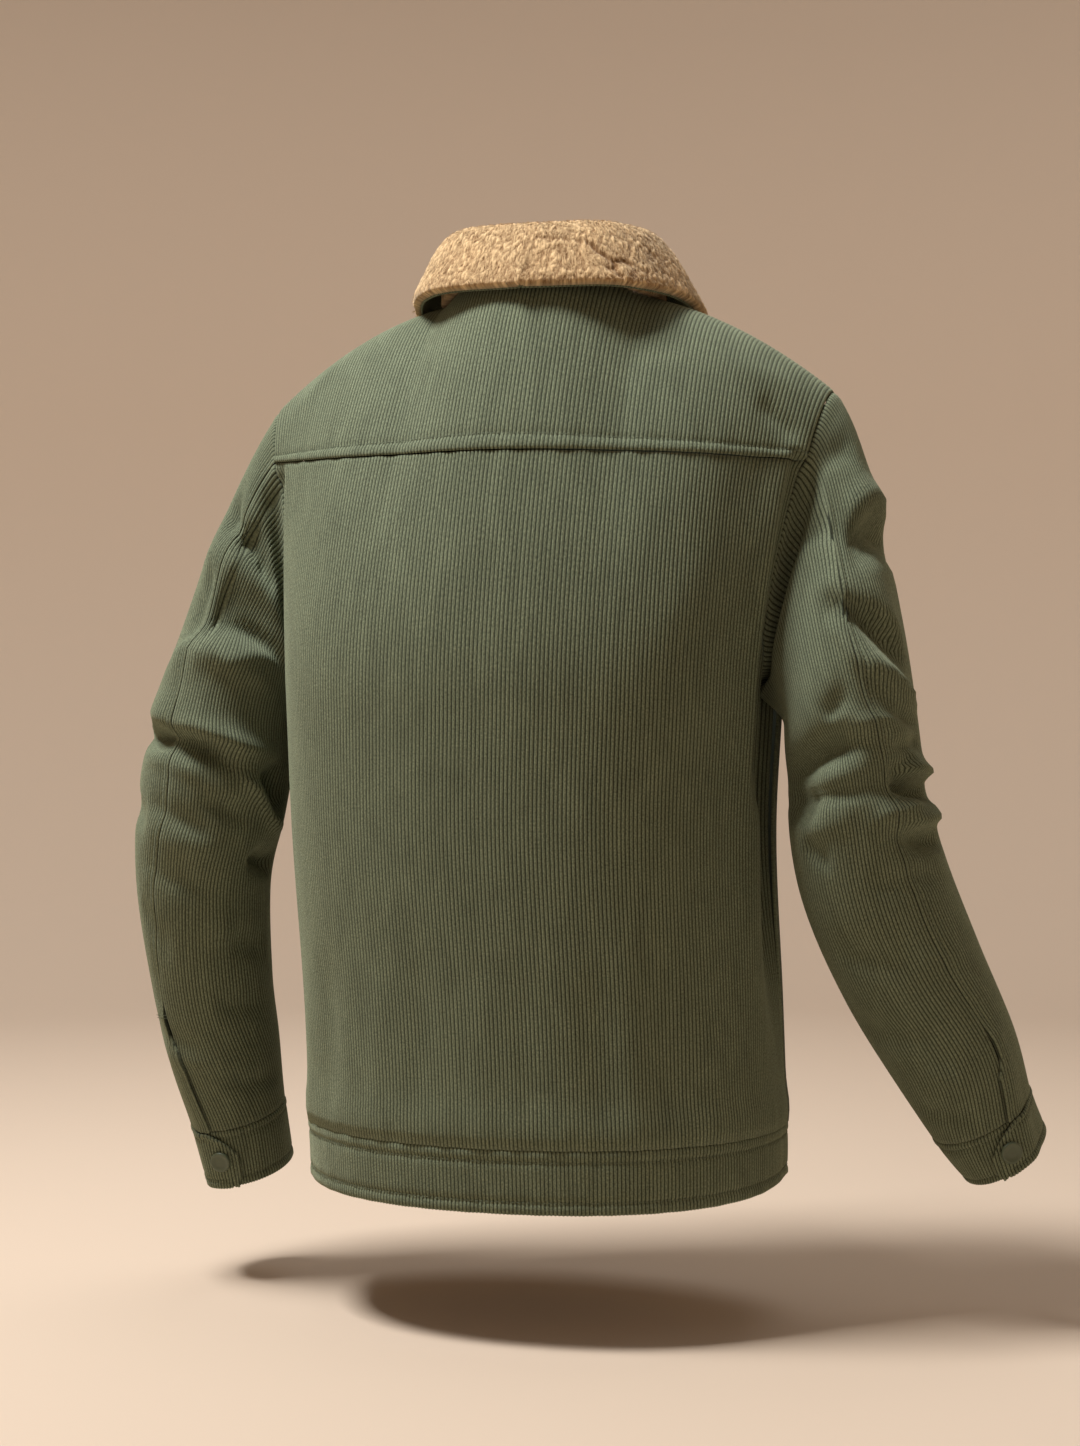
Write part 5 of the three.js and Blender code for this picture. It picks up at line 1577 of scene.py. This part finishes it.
class JacketCollar(bpy.types.Operator):
    """The fleece collar, which stands up from the neck and folds over, with its under side of corduroy"""

    bl_idname = "jacket.collar"
    bl_label = "Collar"

    def execute(self, context):
        self.collar(context.scene.jacket_fleece)
        self.under_collar()
        return {"FINISHED"}

    def collar(self, fleece):
        noise.seed_set(PILE_SEED)
        columns = np.linspace(-COLLAR_ENDS, COLLAR_ENDS, 470)
        rows = np.concatenate([np.linspace(0, 0.3, 8)[:-1], np.linspace(0.3, 1, 66)])
        turn, down = np.meshgrid(columns, rows)
        point, normal = collar_place(turn, down)
        height, parted = np.empty(turn.shape), np.empty(turn.shape)
        flat = np.stack([turn * FLEECE_WIDE, down * FLEECE_LONG], axis=-1)
        for index, (x, y) in enumerate(flat.reshape(-1, 2)):
            height.flat[index], parted.flat[index] = pile_height(x, y, fleece.curl / MM)
        placed = parting_depth(turn, down)
        along = (turn + COLLAR_ENDS) / (2 * COLLAR_ENDS)
        from_rim = np.minimum((1 - down) * FLEECE_LONG, np.minimum(along, 1 - along) * 620)
        rim = 1 - np.sqrt(np.clip(from_rim / 5, 0, 1))
        relief = (height * (0.4 + 0.6 * parted)) * fleece.height / MM - 0.8 - placed - rim * 2.2
        keep = all_cells(*turn.shape)
        fleece_faces = [material_of(curly_pile_fleece)]
        piece = cloth_mesh("collar", point, normal, flat, relief, keep, PILE, fleece_faces)
        # painted shade: the pile is darker where it stands low and down the placed partings
        self.shade_between_curls(piece, columns, rows, height * (0.3 + 0.7 * parted) * np.exp(-placed * 0.9))
        strands = self.strands()
        belong(piece, "collar")

    def shade_between_curls(self, piece, columns, rows, depth):
        """Keeps how high each place of the pile stands, for the painted shade between the curls and in the
        partings.
        """
        mesh = piece.data
        values = np.full(len(mesh.vertices), 0.35)
        uv = fetch(mesh.uv_layers["cloth"].data, "uv", 2) / MM
        i = np.rint(np.interp(uv[:, 1] / FLEECE_LONG, rows, np.arange(len(rows)))).astype(int)
        j = np.rint(np.interp(uv[:, 0] / FLEECE_WIDE, columns, np.arange(len(columns)))).astype(int)
        values[fetch(mesh.loops, "vertex_index", kind=int)] = depth[i, j]
        mesh.attributes.new("curl", "FLOAT", "POINT").data.foreach_set("value", values)

    def strands(self):
        """Loose tips of the pile: narrow strips that bow out of it and lie down the collar."""
        random, steps = np.random.default_rng(7), 4
        turn = random.uniform(-COLLAR_ENDS + 2, COLLAR_ENDS - 2, 9000)
        down = random.uniform(0.3, 0.99, len(turn))
        clear = parting_depth(turn, down) < 0.5
        turn, down, count = turn[clear], down[clear], int(clear.sum())
        base, normal = collar_place(turn, down)
        below = collar_point(turn, down + 0.01)
        beside = collar_point(turn + 0.5, down)
        flow = unit(below - collar_point(turn, down))
        side = unit(beside - collar_point(turn, down))
        spots = zip(turn * FLEECE_WIDE / 9, down * FLEECE_LONG / 11)
        swirl = np.array([noise.noise(Vector((x, y, 2))) for x, y in spots])
        sway = (swirl + random.normal(0, 0.16, count))[:, None]
        flow = unit(flow * np.cos(sway) + side * np.sin(sway))
        across = np.cross(normal, flow)
        length = random.uniform(2.4, 4.4, count)[:, None]
        bow = random.uniform(0.4, 1.1, count)[:, None]
        mesh, step, column = grid_mesh("collar_strands", steps, 2 * count)
        which, edge = column // 2, (column % 2) * 2.0 - 1
        share = (step / (steps - 1))[:, None]
        half = 0.17 * (1 - 0.7 * share) * edge[:, None]
        place = base[which] + flow[which] * length[which] * share + across[which] * half
        place += normal[which] * (0.2 + bow[which] * np.sin(share * 2.6))
        mesh.vertices.foreach_set("co", (place * MM).ravel())
        # painted shade: each strand is darker where it leaves the pile and lighter towards its tip
        mesh.attributes.new("curl", "FLOAT", "POINT").data.foreach_set("value", 0.35 + 0.35 * share.ravel())
        bm = bmesh.new()
        bm.from_mesh(mesh)
        gaps = [face for face in bm.faces if len({column[v.index] // 2 for v in face.verts}) > 1]
        bmesh.ops.delete(bm, geom=gaps, context="FACES")
        smooth(bm)
        bm.to_mesh(mesh)
        bm.free()
        flat_down = down[which] * FLEECE_LONG + share.ravel() * 3
        flat = np.stack([turn[which] * FLEECE_WIDE, flat_down], axis=-1) * MM
        set_uv(mesh, flat[fetch(mesh.loops, "vertex_index", kind=int)])
        mesh.materials.append(material_of(curly_pile_fleece))
        piece = bpy.data.objects.new("collar_strands", mesh)
        bpy.context.scene.collection.objects.link(piece)
        belong(piece)
        return piece

    def under_collar(self):
        columns = np.linspace(-COLLAR_ENDS + 9, COLLAR_ENDS - 9, 220)
        rows = np.linspace(0.6, 1, 12)
        turn, down = np.meshgrid(columns, rows)
        lift = np.full(turn.shape, -PILE - SEAM_GAP)
        point, normal = collar_place(turn, down, lift)
        flat = np.stack([turn * FLEECE_WIDE, down * FLEECE_LONG], axis=-1)
        keep = all_cells(*turn.shape)
        corduroy = cloth_materials()[:1]
        piece = cloth_mesh("under_collar", point, normal, flat, 0 * turn, keep, UNDER_COLLAR, corduroy)
        dress(piece, "under_collar")


def snap_cap(bm, place, normal):
    """A pressed cap: a shallow dish inside a rolled rim, turned on the line square to the cloth."""
    turn_profile(bm, [(radius * MM, (height + SEAM_GAP) * MM) for radius, height in SNAP_PROFILE], 32)
    bmesh.ops.remove_doubles(bm, verts=bm.verts, dist=1e-6)
    turn = Vector((0, 0, 1)).rotation_difference(Vector(normal)).to_matrix().to_4x4()
    bmesh.ops.transform(bm, matrix=Matrix.Translation(Vector(place) * MM) @ turn, verts=bm.verts)
    bmesh.ops.contextual_create(bm, geom=[edge for edge in bm.edges if edge.is_boundary])


class JacketSnaps(bpy.types.Operator):
    """Enamelled snap caps on the cuffs, the placket and the waistband"""

    bl_idname = "jacket.snaps"
    bl_label = "Snaps"

    def execute(self, context):
        lift = CORDUROY + LAP_GAP["front"] + SNAP_GAP
        across = np.zeros(1)
        for index, height in enumerate(FRONT_SNAP_HEIGHTS):
            self.snap(f"front_snap_{index + 1}", *body_place(-1, across, up_at(-1, across, height), lift))
        middle = (HEM_Z + BAND_TOP_Z) / 2 - CHEST_Z
        self.snap("waistband_snap", *body_place(-1, across, np.full(1, middle), lift + BAND_LIFT))
        for side in OUTWARDS:
            self.snap(f"cuff_snap_{side}", *Sleeve(side).cuff_place(np.full(1, 0.5), np.full(1, -10.0)))
        return {"FINISHED"}

    def snap(self, name, place, normal):
        bm = bmesh.new()
        snap_cap(bm, place[0], normal[0])
        bmesh.ops.recalc_face_normals(bm, faces=bm.faces)
        for face in bm.faces:
            face.smooth = len(face.verts) == 4
        belong(new_piece(f"{name}_cap", bm, material_of(enamelled_snap)), name)


class JacketStitching(bpy.types.Operator):
    """Every line of topstitching, in thread of the cloth's colour"""

    bl_idname = "jacket.stitching"
    bl_label = "Stitching"

    def execute(self, context):
        if not STITCH_LINES:
            raise RuntimeError("the cloth pieces come before their stitching")
        for line, rows in STITCH_LINES.items():
            make_stitches(f"stitching_{line}", rows, material_of(spun_sewing_thread))
        return {"FINISHED"}


# From the jacket towards the camera, and to the right in the picture
TO_CAMERA = Vector((-0.2588, 0.9659, 0))
TO_RIGHT = Vector((-0.9659, -0.2588, 0))
# The camera stands this far from the jacket, in metres, and this high above the neck
CAMERA_AWAY = 1.8
CAMERA_Z = -0.318
# Its lens, by the width of its sensor and the focal length in the photograph's own pixels
SENSOR = 36
FOCAL_PIXELS = 2430
PHOTO_TALL = 1446


class JacketStage(bpy.types.Operator):
    """Pale paper floor and backdrop, soft light from above, and the camera"""

    bl_idname = "jacket.stage"
    bl_label = "Studio"

    def execute(self, context):
        self.paper(context.scene.jacket_studio)
        self.lights(context.scene.jacket_studio)
        self.camera()
        context.scene.view_settings.view_transform = "Standard"
        return {"FINISHED"}

    def paper(self, studio):
        """A round sheet whose rim curves up into a wall on every side."""
        radius, curve, wall = 2.9, 1.0, 4.0
        profile = [(0, 0), (radius - curve, 0)]
        profile += [
            (radius - curve + curve * math.sin(a), curve * (1 - math.cos(a)))
            for a in np.linspace(0, math.pi / 2, 13)[1:]
        ]
        profile.append((radius, wall))
        bm = bmesh.new()
        turn_profile(bm, [(out, studio.floor + height) for out, height in profile], 96)
        bmesh.ops.remove_doubles(bm, verts=bm.verts, dist=1e-5)
        bmesh.ops.recalc_face_normals(bm, faces=bm.faces)
        bmesh.ops.reverse_faces(bm, faces=bm.faces)
        smooth(bm)
        new_piece("paper", bm, material_of(studio_paper))

    def lights(self, studio):
        world = bpy.data.worlds.new("studio air")
        world.use_nodes = True
        air = world.node_tree.nodes["Background"]
        air.inputs["Color"].default_value = colour_of(linear("#ecf4ff"))
        air.inputs["Strength"].default_value = studio.fill
        bpy.context.scene.world = world
        key_at = TO_CAMERA * 0.35 - TO_RIGHT * 0.9 + Vector((0, 0, 1.7))
        top_at = -TO_CAMERA * 0.8 + TO_RIGHT * 0.2 + Vector((0, 0, 1.8))
        self.area("key", key_at, studio.key, 0.6, "#fbfcff")
        self.area("top", top_at, studio.key * 0.16, 1.6, "#fbfcff")

    def area(self, name, place, power, size, tint):
        light = bpy.data.lights.new(name, "AREA")
        light.energy = power
        light.size = size
        light.color = linear(tint)
        lamp = bpy.data.objects.new(name, light)
        lamp.location = place
        aim = Vector((0, 0, -0.35)) - place
        lamp.rotation_euler = aim.to_track_quat("-Z", "Y").to_euler()
        bpy.context.scene.collection.objects.link(lamp)

    def camera(self):
        """As in the photograph: level, and turned a little past square to the back."""
        lens = bpy.data.cameras.new("camera")
        lens.sensor_width = SENSOR
        lens.lens = SENSOR * FOCAL_PIXELS / PHOTO_TALL
        lens.clip_end = 30
        camera = bpy.data.objects.new("camera", lens)
        camera.location = TO_CAMERA * CAMERA_AWAY - TO_RIGHT * 0.005 + Vector((0, 0, CAMERA_Z))
        camera.rotation_euler = (-TO_CAMERA).to_track_quat("-Z", "Y").to_euler()
        bpy.context.scene.collection.objects.link(camera)
        bpy.context.scene.camera = camera


class JacketPanel(bpy.types.Panel):
    """Lists the steps that dress the jacket"""

    bl_idname = "VIEW3D_PT_jacket"
    bl_label = "Jacket"
    bl_space_type = "VIEW_3D"
    bl_region_type = "UI"
    bl_category = "Jacket"

    def draw(self, context):
        for group in GROUPS:
            box = self.layout.box()
            settings = getattr(context.scene, group)
            for name in settings.__annotations__:
                box.prop(settings, name)
        for step in STEPS:
            self.layout.operator(step.bl_idname)


GROUPS = {"jacket_cloth": JacketCloth, "jacket_fleece": JacketFleece, "jacket_studio": JacketStudio}
STEPS = (
    JacketBack, JacketYoke, JacketFronts, JacketWaistband, JacketSleeves, JacketCuffs, JacketCollar,
    JacketSnaps, JacketStitching, JacketStage,
)


def register():
    for group in (*GROUPS.values(), *STEPS, JacketPanel):
        bpy.utils.register_class(group)
    for name, group in GROUPS.items():
        setattr(bpy.types.Scene, name, bpy.props.PointerProperty(type=group))


def unregister():
    for name in GROUPS:
        delattr(bpy.types.Scene, name)
    for group in (JacketPanel, *reversed(STEPS), *GROUPS.values()):
        bpy.utils.unregister_class(group)


def main():
    register()
    bpy.ops.jacket.back_panel()
    bpy.ops.jacket.yoke()
    bpy.ops.jacket.fronts()
    bpy.ops.jacket.waistband()
    bpy.ops.jacket.sleeves()
    bpy.ops.jacket.cuffs()
    bpy.ops.jacket.collar()
    bpy.ops.jacket.snaps()
    bpy.ops.jacket.stitching()
    bpy.ops.jacket.stage()


if __name__ == "__main__":
    main()
